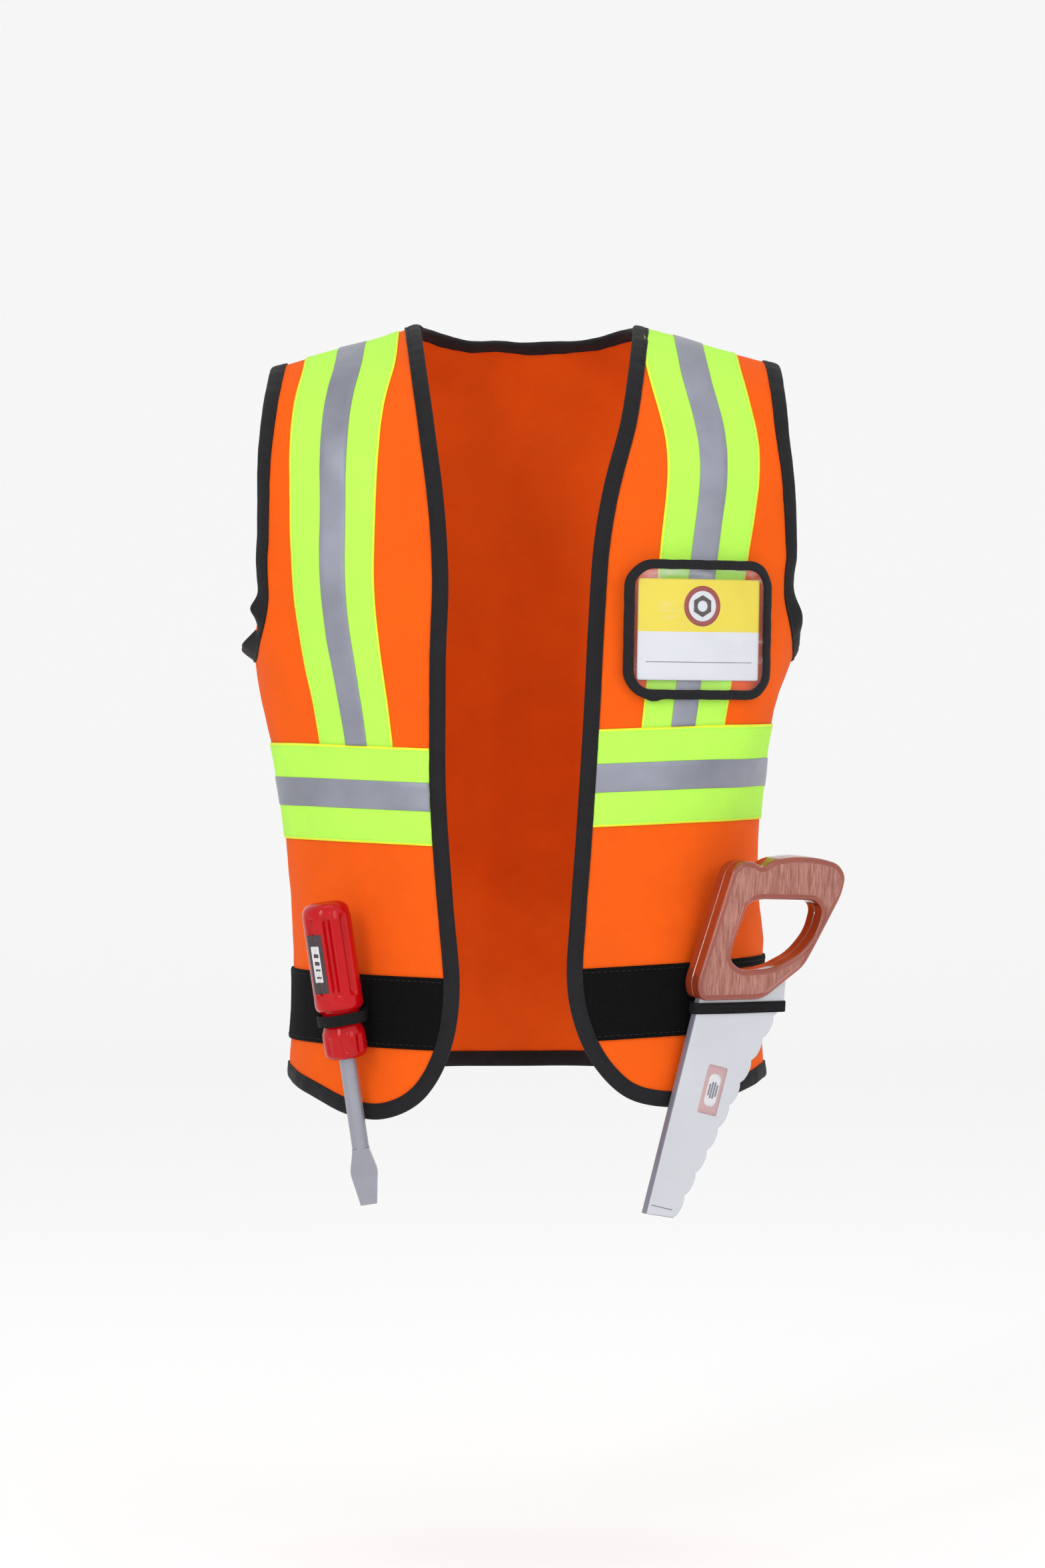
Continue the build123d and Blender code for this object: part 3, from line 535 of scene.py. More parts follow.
# the binding's cross section: how far inside the cloth's edge, and how far off its face
PROFILE = [(8.5, 0.06), (8.45, 0.72), (8.2, 0.98), (7.6, 1.1), (7.15, 1.0), (6.8, 0.82), (6.45, 1.0),
           (5.2, 1.22), (3.4, 1.3), (1.8, 1.2), (0.9, 0.95), (0.3, 0.45), (0.0, -0.35), (0.0, -0.95),
           (0.3, -1.7), (0.9, -2.1), (1.8, -2.3), (3.4, -2.4), (5.2, -2.35), (6.5, -2.15), (6.8, -2.0),
           (7.15, -2.15), (8.2, -2.1), (8.45, -1.9), (8.5, -1.3)]
SEAM_INSET = 6.8


def pucker(run, amount):
    return amount * (np.sin(run / 1.9) * np.sin(run / 7.3 + 1) + 0.6 * np.sin(run / 4.7 + 2))


def stitches(points, outwards, tangents, run, pitch=3.2, length=2.0, radius=0.22):
    """Little thread stitches along a line, as points and faces."""
    out_points, out_faces = [], []
    ring = [(-1.0, 0.05), (-0.8, 0.75), (0.0, 1.0), (0.8, 0.75), (1.0, 0.05)]
    around = 6
    for t in np.arange(pitch / 2, run[-1], pitch):
        p, n, d = (np.array([np.interp(t, run, q[:, k]) for k in range(3)])
                   for q in (points, outwards, tangents))
        s = np.cross(n, d)
        out_faces += grid_faces(len(ring), around, len(out_points), True)
        for along, wide in ring:
            for angle in (2 * math.pi * j / around for j in range(around)):
                out_points.append(p + d * along * length / 2 + s * math.cos(angle) * (radius * wide)
                                  + n * math.sin(angle) * (radius * wide))
    return out_points, out_faces


def bind(name, face, row, across, sign, seed=0.0, flares=()):
    """Binding folded over an edge, with a line of stitches. flares are places where the edge kicks outwards:
    (height, size, half length)."""
    path = base(face, row, across)
    step_row, step_across, n, tangent = inward_steps(face, row, across, path, sign)
    run = lengths(path)
    wobble = pucker(run + seed, 0.16)
    kick = sum((size * np.exp(-((path[:, 2] - z) / reach) ** 2) for z, size, reach in flares),
               np.zeros(len(run)))
    columns = []
    for distance, off in PROFILE:
        swell = wobble * (off + 0.5) * 0.9 * min(1.0, distance / 2)
        shift = pucker(run * 0.5 + seed + 3, 0.25) if distance > 5 else 0.0
        lift = kick * max(0.0, 1 - distance / 7.5)
        columns.append(surf(face, np.maximum(row + step_row * distance, 0),
                            np.clip(across + step_across * distance, -1, 1), off + swell + lift)
                       + tangent * np.reshape(shift * 0.3, (-1, 1)))
    ring = np.stack(columns, 1)
    rows, columns = ring.shape[:2]
    chart = np.stack([np.repeat(run[:, None], columns, 1), np.tile(lengths(PROFILE), (rows, 1))], -1)
    faces = grid_faces(rows, columns, 0, True)
    faces += [tuple(range(columns)), tuple(rows * columns - 1 - k for k in range(columns))]
    seat = surf(face, np.maximum(row + step_row * SEAM_INSET, 0),
                np.clip(across + step_across * SEAM_INSET, -1, 1), 0.98)
    thread_points, thread_faces = stitches(seat, n, tangent, run)
    indices = [0] * len(faces) + [1] * len(thread_faces)
    faces += [tuple(i + rows * columns for i in f) for f in thread_faces]
    uv = np.vstack([chart.reshape(-1, 2), np.zeros((len(thread_points), 2))])
    return make(name, np.vstack([ring.reshape(-1, 3), thread_points]), faces, [BINDING, THREAD], indices, uv,
                outward=True)


# ---- edges of the vest in the chart ----
def front_edge(side, inset=0.0):
    """Rows and acrosses of a front's edge, from the shoulder seam down and round the hem to the side seam."""
    line = curve(FRONT_EDGE[side], 420)
    if inset:
        heading = unit(np.gradient(line, axis=0))
        line = line + np.stack([-heading[:, 1], heading[:, 0]], -1) * side * inset
    line = line[line[:, 1] < ridge(line[:, 0]) - 0.3]
    row, across = chart_at(FRONT, line[:, 0], line[:, 1])
    keep = np.abs(across) < 0.995
    keep &= np.cumsum(~keep) == 0
    row, across = row[keep], across[keep]
    top = across[0] - (across[1] - across[0]) * row[0] / max(row[1] - row[0], 1e-6)
    row = np.concatenate([[0], row, [row[-1]]])
    across = np.concatenate([[top], across, [side]])
    chart = even(np.stack([across * ACROSS_SCALE, row * TURN_RADIUS], -1), 330)
    return chart[:, 1] / TURN_RADIUS, chart[:, 0] / ACROSS_SCALE


def armhole_edge(face, side, inset=0.0):
    """Rows and acrosses of half an armhole, from the shoulder seam down to the side seam."""
    line = curve(ARMHOLE_EDGE[side], 200)
    line[:, 0] -= side * inset
    rows = np.linspace(0, row_at(-119), 60)
    z = np.full(rows.shape, -10.0)
    for _ in range(12):
        x = np.interp(-z, -line[:, 1], line[:, 0])
        across = across_at(face, rows, x)
        z = 0.5 * z + 0.5 * base(face, rows, across)[:, 2]
    turn = np.radians(np.linspace(14, 90, 34))
    depth = ARMHOLE_HALF + inset
    y = depth * np.cos(turn)
    z = ARMHOLE_TURN_Z - (ARMHOLE_DEPTH + inset) * np.sin(turn)
    low_rows = row_at(z)
    low = np.zeros(len(z))
    share = bisect(lambda a: np.abs(base(face, low_rows, a * side)[:, 1]) > y, low + 0.2, low + 1.0)
    chart = np.stack([np.concatenate([across, share * side]) * ACROSS_SCALE,
                      np.concatenate([rows, low_rows]) * TURN_RADIUS], -1)
    chart[-1, 0] = side * ACROSS_SCALE
    soft = curve(even(chart, 26), 150)
    soft[-1, 0] = side * ACROSS_SCALE
    return soft[:, 1] / TURN_RADIUS, np.clip(soft[:, 0] / ACROSS_SCALE, -1, 1)


def neck_edge(inset=0.0):
    """Rows and acrosses of the neck opening's back half, from the right shoulder to the left."""
    turn = np.radians(np.linspace(0.8, 179.2, 90))
    x = -(NECK_HALF + inset) * np.cos(turn)
    y = (NECK_BACK + inset) * np.sin(turn)
    low = np.zeros(x.shape)
    row = bisect(lambda r: base(BACK, r, across_at(BACK, r, x))[..., 1] < y, low, low + 2.0)
    return row, across_at(BACK, row, x)


def chart_of(row, across):
    return np.stack([np.asarray(across) * ACROSS_SCALE, np.asarray(row) * TURN_RADIUS], -1)


# ---- the vest ----
for side in (RIGHT, LEFT):
    word = WORDS[side]
    flap = word + "_front_flap"
    edge = front_edge(side, BINDING_WRAP)
    arm = armhole_edge(FRONT, side, BINDING_WRAP)
    seam_z = np.linspace(base(FRONT, arm[0][-1], arm[1][-1])[2], HEM_Z + BINDING_WRAP, 70)[1:-1]
    top_seam = np.linspace(edge[1][0], arm[1][0], 22)[1:-1]
    outline = np.vstack([chart_of(*edge)[::-1], chart_of(np.zeros(20), top_seam), chart_of(*arm),
                         chart_of(row_at(seam_z), np.full(len(seam_z), float(side)))])
    cloth = patch(word + "_front_cloth", FRONT, outline, 0.0, CLOTH_THICKNESS, [ORANGE])
    stand(cloth, None, "orange_cloth", word + "_front_panel", flap, blend=flap)
    turned = np.linspace(1.0, 0.955, 6)
    strip_rows = row_at(np.linspace(-172, HEM_Z + 3, 110))
    rows, sides = np.meshgrid(strip_rows, turned * side, indexing="ij")
    allowance = chart_slab(word + "_seam_allowance", BACK, rows, sides, -2.6, 0.9, [ORANGE])
    stand(allowance, None, "orange_cloth", blend=flap)
    trim = bind(word + "_front_edge_binding", FRONT, *front_edge(side), side, seed=side * 5.0)
    stand(trim, None, "black_binding", word + "_front_binding", word + "_flap_binding", blend=flap)
    for face, which in ((FRONT, "front"), (BACK, "back")):
        trim = bind(f"{word}_armhole_{which}_trim", face, *armhole_edge(face, side), side * face, 2.0,
                    ARMHOLE_FLARES[side])
        stand(trim, "vest", "black_binding", f"{word}_armhole_{which}_binding")

stand(bind("neck_trim", BACK, *neck_edge(), 1), "vest", "black_binding", "neck_binding")
hem_rows, hem_across = np.full(260, row_at(HEM_Z)), np.linspace(-1, 1, 260)
stand(bind("back_hem_trim", BACK, hem_rows, hem_across, -1), "vest", "black_binding", "back_hem_binding")

inner_neck = neck_edge(BINDING_WRAP)
right_arm, left_arm = armhole_edge(BACK, RIGHT, BINDING_WRAP), armhole_edge(BACK, LEFT, BINDING_WRAP)
low_z = HEM_Z + BINDING_WRAP
seam_z = np.linspace(base(BACK, left_arm[0][-1], 1.0)[2], low_z, 70)[1:]
outline = np.vstack([
    chart_of(*inner_neck), chart_of(np.zeros(20), np.linspace(inner_neck[1][-1], left_arm[1][0], 22)[1:-1]),
    chart_of(*left_arm), chart_of(row_at(seam_z), np.ones(len(seam_z))),
    chart_of(np.full(118, row_at(low_z)), np.linspace(1, -1, 120)[1:-1]),
    chart_of(row_at(seam_z), -np.ones(len(seam_z)))[::-1], chart_of(*right_arm)[::-1],
    chart_of(np.zeros(20), np.linspace(right_arm[1][0], inner_neck[1][0], 22)[1:-1])])
stand(patch("back_cloth", BACK, outline, 0.0, CLOTH_THICKNESS, [ORANGE]), "vest", "orange_cloth", "back_panel")

# the cut of each cloth: width and length in metres, area in square metres, and its hems
for name, flat, area, hems in (
        ("right_front_cloth", (0.165, 0.477), 0.0550, ["right_front_edge_binding"]),
        ("left_front_cloth", (0.165, 0.477), 0.0585, ["left_front_edge_binding"]),
        ("back_cloth", (0.410, 0.460), 0.1467, ["neck_trim", "back_hem_trim"])):
    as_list(hems)


# ---- tapes and belt ----
def over_shoulder(face, side, share):
    """Grids of rows and acrosses of the tape over a shoulder, down to the top of the chest tape."""
    line = curve(SHOULDER_TAPE[side], 240)
    shares = np.array([-0.5, -0.478, -0.3, -0.1, 0.1, 0.3, 0.478, 0.5]) * share

    def x_of(z, c):
        middle = np.interp(-z, -line[:, 1], line[:, 0])
        return middle + side * np.interp(-z, -line[:, 1], line[:, 2]) * c

    (x0, z0), (x1, z1) = CHEST_TOP[side] if face == FRONT else BACK_CHEST_TOP
    columns = []
    for c in shares:
        z_end = z0
        for _ in range(6):
            z_end = z0 + (x_of(z_end, c) - x0) * (z1 - z0) / (x1 - x0)
        rows = np.linspace(0, row_at(z_end), 110)
        z = np.full(rows.shape, -20.0)
        for _ in range(14):
            across = across_at(face, rows, x_of(z, c))
            z = 0.4 * z + 0.6 * base(face, rows, across)[:, 2]
        columns.append((rows, across))
    rows, across = (np.stack([c[k] for c in columns], 1) for k in (0, 1))
    return (rows, across) if side == RIGHT else (rows[:, ::-1], across[:, ::-1])


def round_body(face, side, tops, start, width, limits=None):
    """Grids of a strip round the body: from under the front binding, or over the whole back."""
    limits = limits or under_binding
    (x0, z0), (x1, z1) = tops
    shares = np.array([0, 0.022, 0.2, 0.4, 0.6, 0.8, 0.978, 1.0])
    along = np.linspace(0, 1, 180 if face == BACK else 100)
    rows, acrosses = [], []
    for s in shares:
        z = np.full(along.shape, -250.0)
        across = along * 2 - 1
        for _ in range(8):
            if face == FRONT:
                under = np.interp(row_at(z), limits[side][0], limits[side][1])
                across = under + (side - under) * along
            x = base(face, row_at(z), across)[:, 0]
            z = z0 + (x - x0) * (z1 - z0) / (x1 - x0) - start - width * s
        rows.append(row_at(z))
        acrosses.append(across)
    return np.stack(rows, 1), np.stack(acrosses, 1)


def seam_line(name, face, row, across, off, mat, body, slot, blend=None):
    """A line of thread stitches along the drape."""
    points, n = surf(face, row, across, off), normals(face, row, across)
    made, faces = stitches(points, n, unit(np.gradient(points, axis=0)), lengths(points), 3.4, 2.3, 0.2)
    stand(make(name, made, faces, [mat], outward=True), body, slot, blend=blend)


def beside_binding(inset):
    """Rows and acrosses at an inset from each front's edge, down to the rounded hem."""
    found = {}
    for side in (RIGHT, LEFT):
        row, across = front_edge(side, inset)
        keep = np.cumsum(np.diff(row, prepend=-1) <= 0) == 0
        keep &= row < row_at(-384)
        found[side] = (row[keep], across[keep])
    return found


under_binding, clear_of_binding = beside_binding(BINDING_WIDTH - 2.2), beside_binding(BINDING_WIDTH - 0.15)
REFLECTOR_START = (TAPE_WIDTH - REFLECTOR_WIDTH) / 2
LIME_LOOKS, SILVER_LOOKS = ("lime_tape", [LIME, LIME_EDGE], 1), ("silver_reflective", [SILVER], None)
WEBBING_LOOKS = ("black_webbing", [WEBBING], None)


def tape(name, node_name, face, grid, layer, looks, edge, body, blend, pressed=False):
    """A tape or belt that stands for a CAD node."""
    slot, mats, side_mat = looks
    stand(chart_slab(name, face, *grid, *layer, mats, edge, side_mat, pressed), body, slot, node_name, blend=blend)


def edge_stitching(prefix, face, grid, off, mat, body, slot, blend=None):
    """A line of stitches along each edge of a grid."""
    for k, end in ((0, "a"), (-1, "b")):
        seam_line(f"{prefix}_stitching_{end}", face, grid[0][:, k], grid[1][:, k], off, mat, body, slot, blend)


for side in (RIGHT, LEFT):
    word = WORDS[side]
    flap = word + "_front_flap"
    for face, prefix, body, bent in ((FRONT, word, None, flap), (BACK, "back_" + word, "vest", None)):
        tape(prefix + "_shoulder_lime", prefix + "_shoulder_tape", face, over_shoulder(face, side, 1.0),
             SHOULDER_LIME, LIME_LOOKS, 0.3, body, bent)
        tape(prefix + "_shoulder_silver", prefix + "_shoulder_reflector", face,
             over_shoulder(face, side, REFLECTOR_WIDTH / TAPE_WIDTH), SHOULDER_SILVER, SILVER_LOOKS, 0.15, body,
             bent)
        edge_stitching(prefix + "_shoulder", face, over_shoulder(face, side, 0.93), SHOULDER_THREAD, LIME_THREAD,
                       body, "lime_tape", bent)
    chest, belt = CHEST_TOP[side], BELT_TOP[side]
    tape(word + "_chest_lime", word + "_chest_tape", FRONT, round_body(FRONT, side, chest, 0, TAPE_WIDTH),
         CHEST_LIME, LIME_LOOKS, 0.3, None, flap, True)
    tape(word + "_chest_silver", word + "_chest_reflector", FRONT,
         round_body(FRONT, side, chest, REFLECTOR_START, REFLECTOR_WIDTH, clear_of_binding), CHEST_SILVER,
         SILVER_LOOKS, 0.15, None, flap)
    grid = round_body(FRONT, side, chest, 1.8, TAPE_WIDTH - 2 * 1.8, clear_of_binding)
    edge_stitching(word + "_chest", FRONT, grid, CHEST_THREAD, LIME_THREAD, None, "lime_tape", flap)
    tape(word + "_belt", word + "_belt_webbing", FRONT, round_body(FRONT, side, belt, 0, WEBBING_WIDTH),
         WEBBING_LAYER, WEBBING_LOOKS, 0.5, flap, None, True)
    grid = round_body(FRONT, side, belt, 2.2, WEBBING_WIDTH - 2 * 2.2, clear_of_binding)
    edge_stitching(word + "_belt", FRONT, grid, WEBBING_THREAD, THREAD, flap, "black_webbing")

for top, start, width, layer, looks, name, node_name in (
        (BACK_CHEST_TOP, 0, TAPE_WIDTH, CHEST_LIME, LIME_LOOKS, "back_chest_lime", "back_chest_tape"),
        (BACK_CHEST_TOP, REFLECTOR_START, REFLECTOR_WIDTH, CHEST_SILVER, SILVER_LOOKS, "back_chest_silver",
         "back_chest_reflector"),
        (BACK_BELT_TOP, 0, WEBBING_WIDTH, WEBBING_LAYER, WEBBING_LOOKS, "back_belt", "back_belt_webbing")):
    grid = [part[::-1] for part in round_body(BACK, 0, top, start, width)]
    tape(name, node_name, BACK, grid, layer, looks, 0.3 * min(1, layer[1]), "vest", None)
for top, width, off, mat, slot, name in (
        (BACK_CHEST_TOP, TAPE_WIDTH, CHEST_THREAD, LIME_THREAD, "lime_tape", "back_chest"),
        (BACK_BELT_TOP, WEBBING_WIDTH, WEBBING_THREAD, THREAD, "black_webbing", "back_belt")):
    edge_stitching(name, BACK, round_body(BACK, 0, top, 1.9, width - 2 * 1.9), off, mat, "vest", slot)


# ---- badge pocket ----
POCKET_MIDDLE, POCKET_RADIUS = np.array((91.05, -86.65, -161.5)), 136.0
POCKET_YAW, POCKET_PITCH = math.radians(24.8), math.radians(2.3)
POCKET_SIZE, POCKET_CORNER = (86.0, 73.0), 15.0
POCKET_X = np.array((math.cos(POCKET_YAW), math.sin(POCKET_YAW), 0))
POCKET_N = np.array((math.sin(POCKET_YAW) * math.cos(POCKET_PITCH),
                     -math.cos(POCKET_YAW) * math.cos(POCKET_PITCH), -math.sin(POCKET_PITCH)))
POCKET_Y = np.cross(POCKET_N, POCKET_X)


def pocket(u, v, d):
    """A point of the pocket: across, up, and its distance out from the pocket's back."""
    u, v, d = np.broadcast_arrays(*(np.asarray(q, float) for q in (u, v, d)))
    out = np.sqrt((POCKET_RADIUS + d) ** 2 - u ** 2) - POCKET_RADIUS
    return POCKET_MIDDLE + u[..., None] * POCKET_X + v[..., None] * POCKET_Y + out[..., None] * POCKET_N


def rounded_loop(width, height, radius, per_corner=10, per_side=14):
    """Points round a rectangle with rounded corners, anticlockwise from the right side's foot."""
    out = []
    middles = [(1, -1), (1, 1), (-1, 1), (-1, -1)]
    for k, (sx, sy) in enumerate(middles):
        cx, cy = sx * (width / 2 - radius), sy * (height / 2 - radius)
        turns = np.radians(np.linspace(-90 + 90 * k, 90 * k, per_corner))
        out += [(cx + radius * math.cos(t), cy + radius * math.sin(t)) for t in turns]
        nx, ny = middles[(k + 1) % 4]
        nx, ny = nx * (width / 2 - radius), ny * (height / 2 - radius)
        t = math.radians(90 * k)
        start = np.array(out[-1])
        end = np.array((nx + radius * math.cos(t), ny + radius * math.sin(t)))
        out += [tuple(start + (end - start) * i / per_side) for i in range(1, per_side)]
    return np.array(out)


def disc_slab(name, loop, place, low, high, mats, rings=10, middle=(0, 0)):
    """A thin sheet inside a loop, on a mapping place(u, v, d)."""
    middle = np.array(middle, float)
    shares = np.linspace(1, 0, rings + 1)[:-1]
    flat = np.vstack([middle + (loop - middle) * s for s in shares] + [middle[None]])
    count, n = len(flat), len(loop)
    faces = grid_faces(rings, n, 0, True)
    last = (rings - 1) * n
    faces += [(last + i, last + (i + 1) % n, count - 1) for i in range(n)]
    under = [tuple(q + count for q in f[::-1]) for f in faces]
    walls = [(i, i + count, (i + 1) % n + count, (i + 1) % n) for i in range(n)]
    d_high = high(flat) if callable(high) else np.full(count, high)
    d_low = low(flat) if callable(low) else np.full(count, low)
    points = np.vstack([place(flat[:, 0], flat[:, 1], d_high), place(flat[:, 0], flat[:, 1], d_low)])
    return make(name, points, faces + under + walls, mats, outward=True)


def ring_slab(name, outer, inner, place, low, high, mats):
    """A flat ring between two loops of as many points."""
    n = len(outer)
    grid = []
    for loop, d in ((outer, low), (outer, high), (inner, high), (inner, low)):
        grid.append(place(loop[:, 0], loop[:, 1], np.full(n, d)))
    return make(name, np.vstack(grid), torus_faces(4, n), mats, outward=True)


def ripple(flat):
    """Slight waves of the clear sheet."""
    u, v = flat[:, 0], flat[:, 1]
    return 0.22 * np.sin(u / 9 + v / 17) + 0.16 * np.sin(v / 6.5 - u / 13 + 2) + 0.1 * np.sin(u / 4.1 + 1)


window_loop = rounded_loop(POCKET_SIZE[0] - 4, POCKET_SIZE[1] - 4, POCKET_CORNER - 2)
window = disc_slab("badge_vinyl", window_loop, pocket, lambda f: 1.62 + ripple(f) * 0.9,
                   lambda f: 1.92 + ripple(f) * 0.9, [VINYL], 22)
stand(window, "vest", "clear_vinyl", "badge_window")

trim_loop = rounded_loop(POCKET_SIZE[0] - 5.0, POCKET_SIZE[1] - 5.0, POCKET_CORNER - 2.5, 16, 22)
count = len(trim_loop)
run = lengths(trim_loop)
heading = unit(np.roll(trim_loop, -1, 0) - np.roll(trim_loop, 1, 0))
outward = np.stack([heading[:, 1], -heading[:, 0]], -1)
mouth = smooth((trim_loop[:, 1] - POCKET_SIZE[1] / 2 + 12) / 8)
knot = np.exp(-((trim_loop[:, 0] + 27) / 3.2) ** 2) * (trim_loop[:, 1] < -30)
# cross section of the pocket's binding: how far outwards, and the share of its height
TRIM = [(2.5, 0.55), (2.35, 0.9), (1.5, 1.0), (0.0, 1.06), (-1.5, 1.0), (-2.2, 0.92), (-2.5, 0.6), (-2.5, 0.25),
        (-2.1, 0.0), (0.0, 0.0), (2.1, 0.0), (2.5, 0.25)]
rings = []
for across, share in TRIM:
    wob = 0.12 * np.sin(run / 2.1) * np.sin(run / 6.3)
    wide = across * (1 + 0.28 * knot) + wob
    low_d, high_d = 0.1 + 1.05 * mouth, 2.85 + 0.5 * knot + wob
    flat = trim_loop + outward * (wide + 0.5 * knot)[:, None]
    rings.append(pocket(flat[:, 0], flat[:, 1], low_d + (high_d - low_d) * share))
rings = np.stack(rings, 1)
uv = np.stack([np.repeat(run[:, None], len(TRIM), 1), np.tile(np.arange(len(TRIM)) * 1.2, (count, 1))], -1)
trim = make("badge_pocket_trim", rings.reshape(-1, 3), torus_faces(count, len(TRIM)), [BINDING], None,
            uv.reshape(-1, 2), outward=True)
stand(trim, "vest", "black_binding", "badge_pocket_binding")
seat = pocket(trim_loop[:, 0] - outward[:, 0] * 1.2, trim_loop[:, 1] - outward[:, 1] * 1.2, 2.85)
outwards, tangents = np.tile(POCKET_N, (count, 1)), unit(np.gradient(seat, axis=0))
made, faces = stitches(seat, outwards, tangents, run, 3.0, 2.0, 0.2)
stand(make("badge_pocket_stitching", made, faces, [THREAD], outward=True), "vest", "black_binding")

CARD_MIDDLE = -0.3
us = np.concatenate([[-35.5, -34.6, -31.0], np.linspace(-27, 27, 13), [31.0, 34.6, 35.5]])
vs = np.array([-26.5, -25.6, -22, -17.25, -16.75, -12, -6, -1.1, 5, 12, 19, 25.6, 26.5])
vv, uu = np.meshgrid(vs, us, indexing="ij")
rounded = (np.abs(uu) > 35) & (np.abs(vv) > 26)
uu, vv = np.where(rounded, uu * 0.9915, uu), np.where(rounded, vv * 0.9885, vv)
points, faces = slab(pocket(uu + CARD_MIDDLE, vv, 0.95), pocket(uu + CARD_MIDDLE, vv, 0.45))
indices = []
for f in faces:
    mean = [np.mean([q.ravel()[i % uu.size] for i in f]) for q in (uu, vv)]
    front_side = all(i < uu.size for i in f)
    on_line = -17.25 < mean[1] < -16.75 and abs(mean[0]) < 31.5
    indices.append(1 if not front_side else 2 if on_line else 0 if mean[1] > -1.1 else 1)
card = make("badge_card_print", points, faces, [CARD_YELLOW, CARD_WHITE, CARD_LINE], indices, outward=True)
stand(card, "badge_card", "badge_card", "badge_card")


def circle(u, v, radius, count=72):
    t = np.linspace(0, 2 * math.pi, count, endpoint=False)
    return np.stack([u + radius * np.cos(t), v + radius * np.sin(t)], -1)


ICON = (-0.6, 12.4)
icon_disc = disc_slab("badge_icon_ground", circle(*ICON, 9.2), pocket, 0.951, 0.99, [CARD_WHITE], 4, ICON)
stand(icon_disc, "badge_card", "badge_card")
stand(ring_slab("badge_icon_ring", circle(*ICON, 10.6), circle(*ICON, 8.0), pocket, 0.952, 1.03, [CARD_RING]),
      "badge_card", "badge_card")
corners = np.array([(math.cos(t), math.sin(t)) for t in (math.radians(60 * k + 30) for k in range(7))])
hexagon = np.array([corners[k // 12] * (1 - k % 12 / 12) + corners[k // 12 + 1] * (k % 12 / 12)
                    for k in range(72)]) * 5.8 + np.array(ICON)
bore = np.roll(circle(*ICON, 2.9), -6, 0)
stand(ring_slab("badge_icon_nut", hexagon, bore, pocket, 0.953, 1.05, [CARD_DARK]), "badge_card", "badge_card")


# ---- toy screwdriver ----
DRIVER_LOOP = np.array((-98.0, -85.8, -365.0))
DRIVER_UP = unit(np.array((-math.tan(math.radians(8.3)), -math.tan(math.radians(3.0)), 1.0)))
DRIVER_X = unit(np.array((1.0, 0, 0)) - DRIVER_UP * DRIVER_UP[0])
DRIVER_Y = np.cross(DRIVER_UP, DRIVER_X)


def driver(radius, angle, height):
    """A point round the screwdriver's axis. Angle 0 faces the front, growing towards the wearer's left."""
    radius, angle, height = np.broadcast_arrays(*(np.asarray(q, float) for q in (radius, angle, height)))
    across, forward = radius * np.sin(angle), -radius * np.cos(angle)
    return (DRIVER_LOOP + across[..., None] * DRIVER_X + forward[..., None] * DRIVER_Y
            + height[..., None] * DRIVER_UP)


# the grip's radius and height, from its top to the ferrule
HANDLE = [(0.01, 62.0), (4.0, 62.0), (7.5, 61.6), (10.2, 60.4), (12.0, 58.0), (12.7, 54.5), (12.8, 50.0),
          (12.8, 30.0), (12.8, 10.0), (12.75, 7.5), (12.0, 5.6), (10.5, 4.2), (9.7, 2.6), (9.5, 0.0),
          (9.6, -2.4), (10.2, -4.6), (11.1, -7.0), (11.4, -9.5), (11.4, -13.0), (11.2, -17.4), (10.4, -19.4),
          (8.6, -20.7), (6.5, -21.0), (4.6, -21.0), (4.55, -19.0)]
outline = curve(HANDLE, 150)
around = 192
angle = np.linspace(0, 2 * math.pi, around, endpoint=False)
radius = np.repeat(outline[:, 0:1], around, 1)
along = outline[:, 1]
flute = np.clip((np.cos(8 * angle) - 0.05) / 0.95, 0, 1) ** 0.8
depth = 2.3 * smooth((along - 11) / 5) * smooth((56.5 - along) / 5)
low_flute = 0.9 * smooth((-7.5 - along) / 2.5) * smooth((along + 19) / 2.5)
radius = radius - (depth + low_flute)[:, None] * flute[None, :]
grid = driver(radius, angle[None, :], along[:, None])
faces = grid_faces(len(outline), around, 0, True) + [tuple(range(around))]
handle = make("screwdriver_grip", grid.reshape(-1, 3), faces, [RED], outward=True)
stand(handle, "screwdriver", "red_plastic", "screwdriver_handle")

sticker_angle = np.linspace(math.radians(-63), math.radians(-17), 15)
sticker_up = np.linspace(15, 46, 32)
hh, aa = np.meshgrid(sticker_up, sticker_angle, indexing="ij")
dip = 1.5 * np.clip((np.cos(8 * aa) - 0.2) / 0.8, 0, 1)
points, faces = slab(driver(13.02 - dip, aa, hh), driver(12.8 - dip, aa, hh))
indices = []
for f in faces:
    a, h = (np.mean([q.ravel()[i % aa.size] for i in f]) for q in (aa, hh))
    s, t = (math.degrees(a) + 40) / 23, (h - 30.5) / 15.5
    pale = abs(s) < 0.62 and abs(t) < 0.62
    bars = pale and abs(s) < 0.45 and abs(t) < 0.5 and (int((t + 1) * 12) % 3 == 0)
    indices.append(0 if bars or not pale else 1)
sticker = make("screwdriver_sticker", points, faces, [STICKER_BLACK, STICKER_PALE], indices, outward=True)
stand(sticker, "screwdriver", "label", "screwdriver_label")

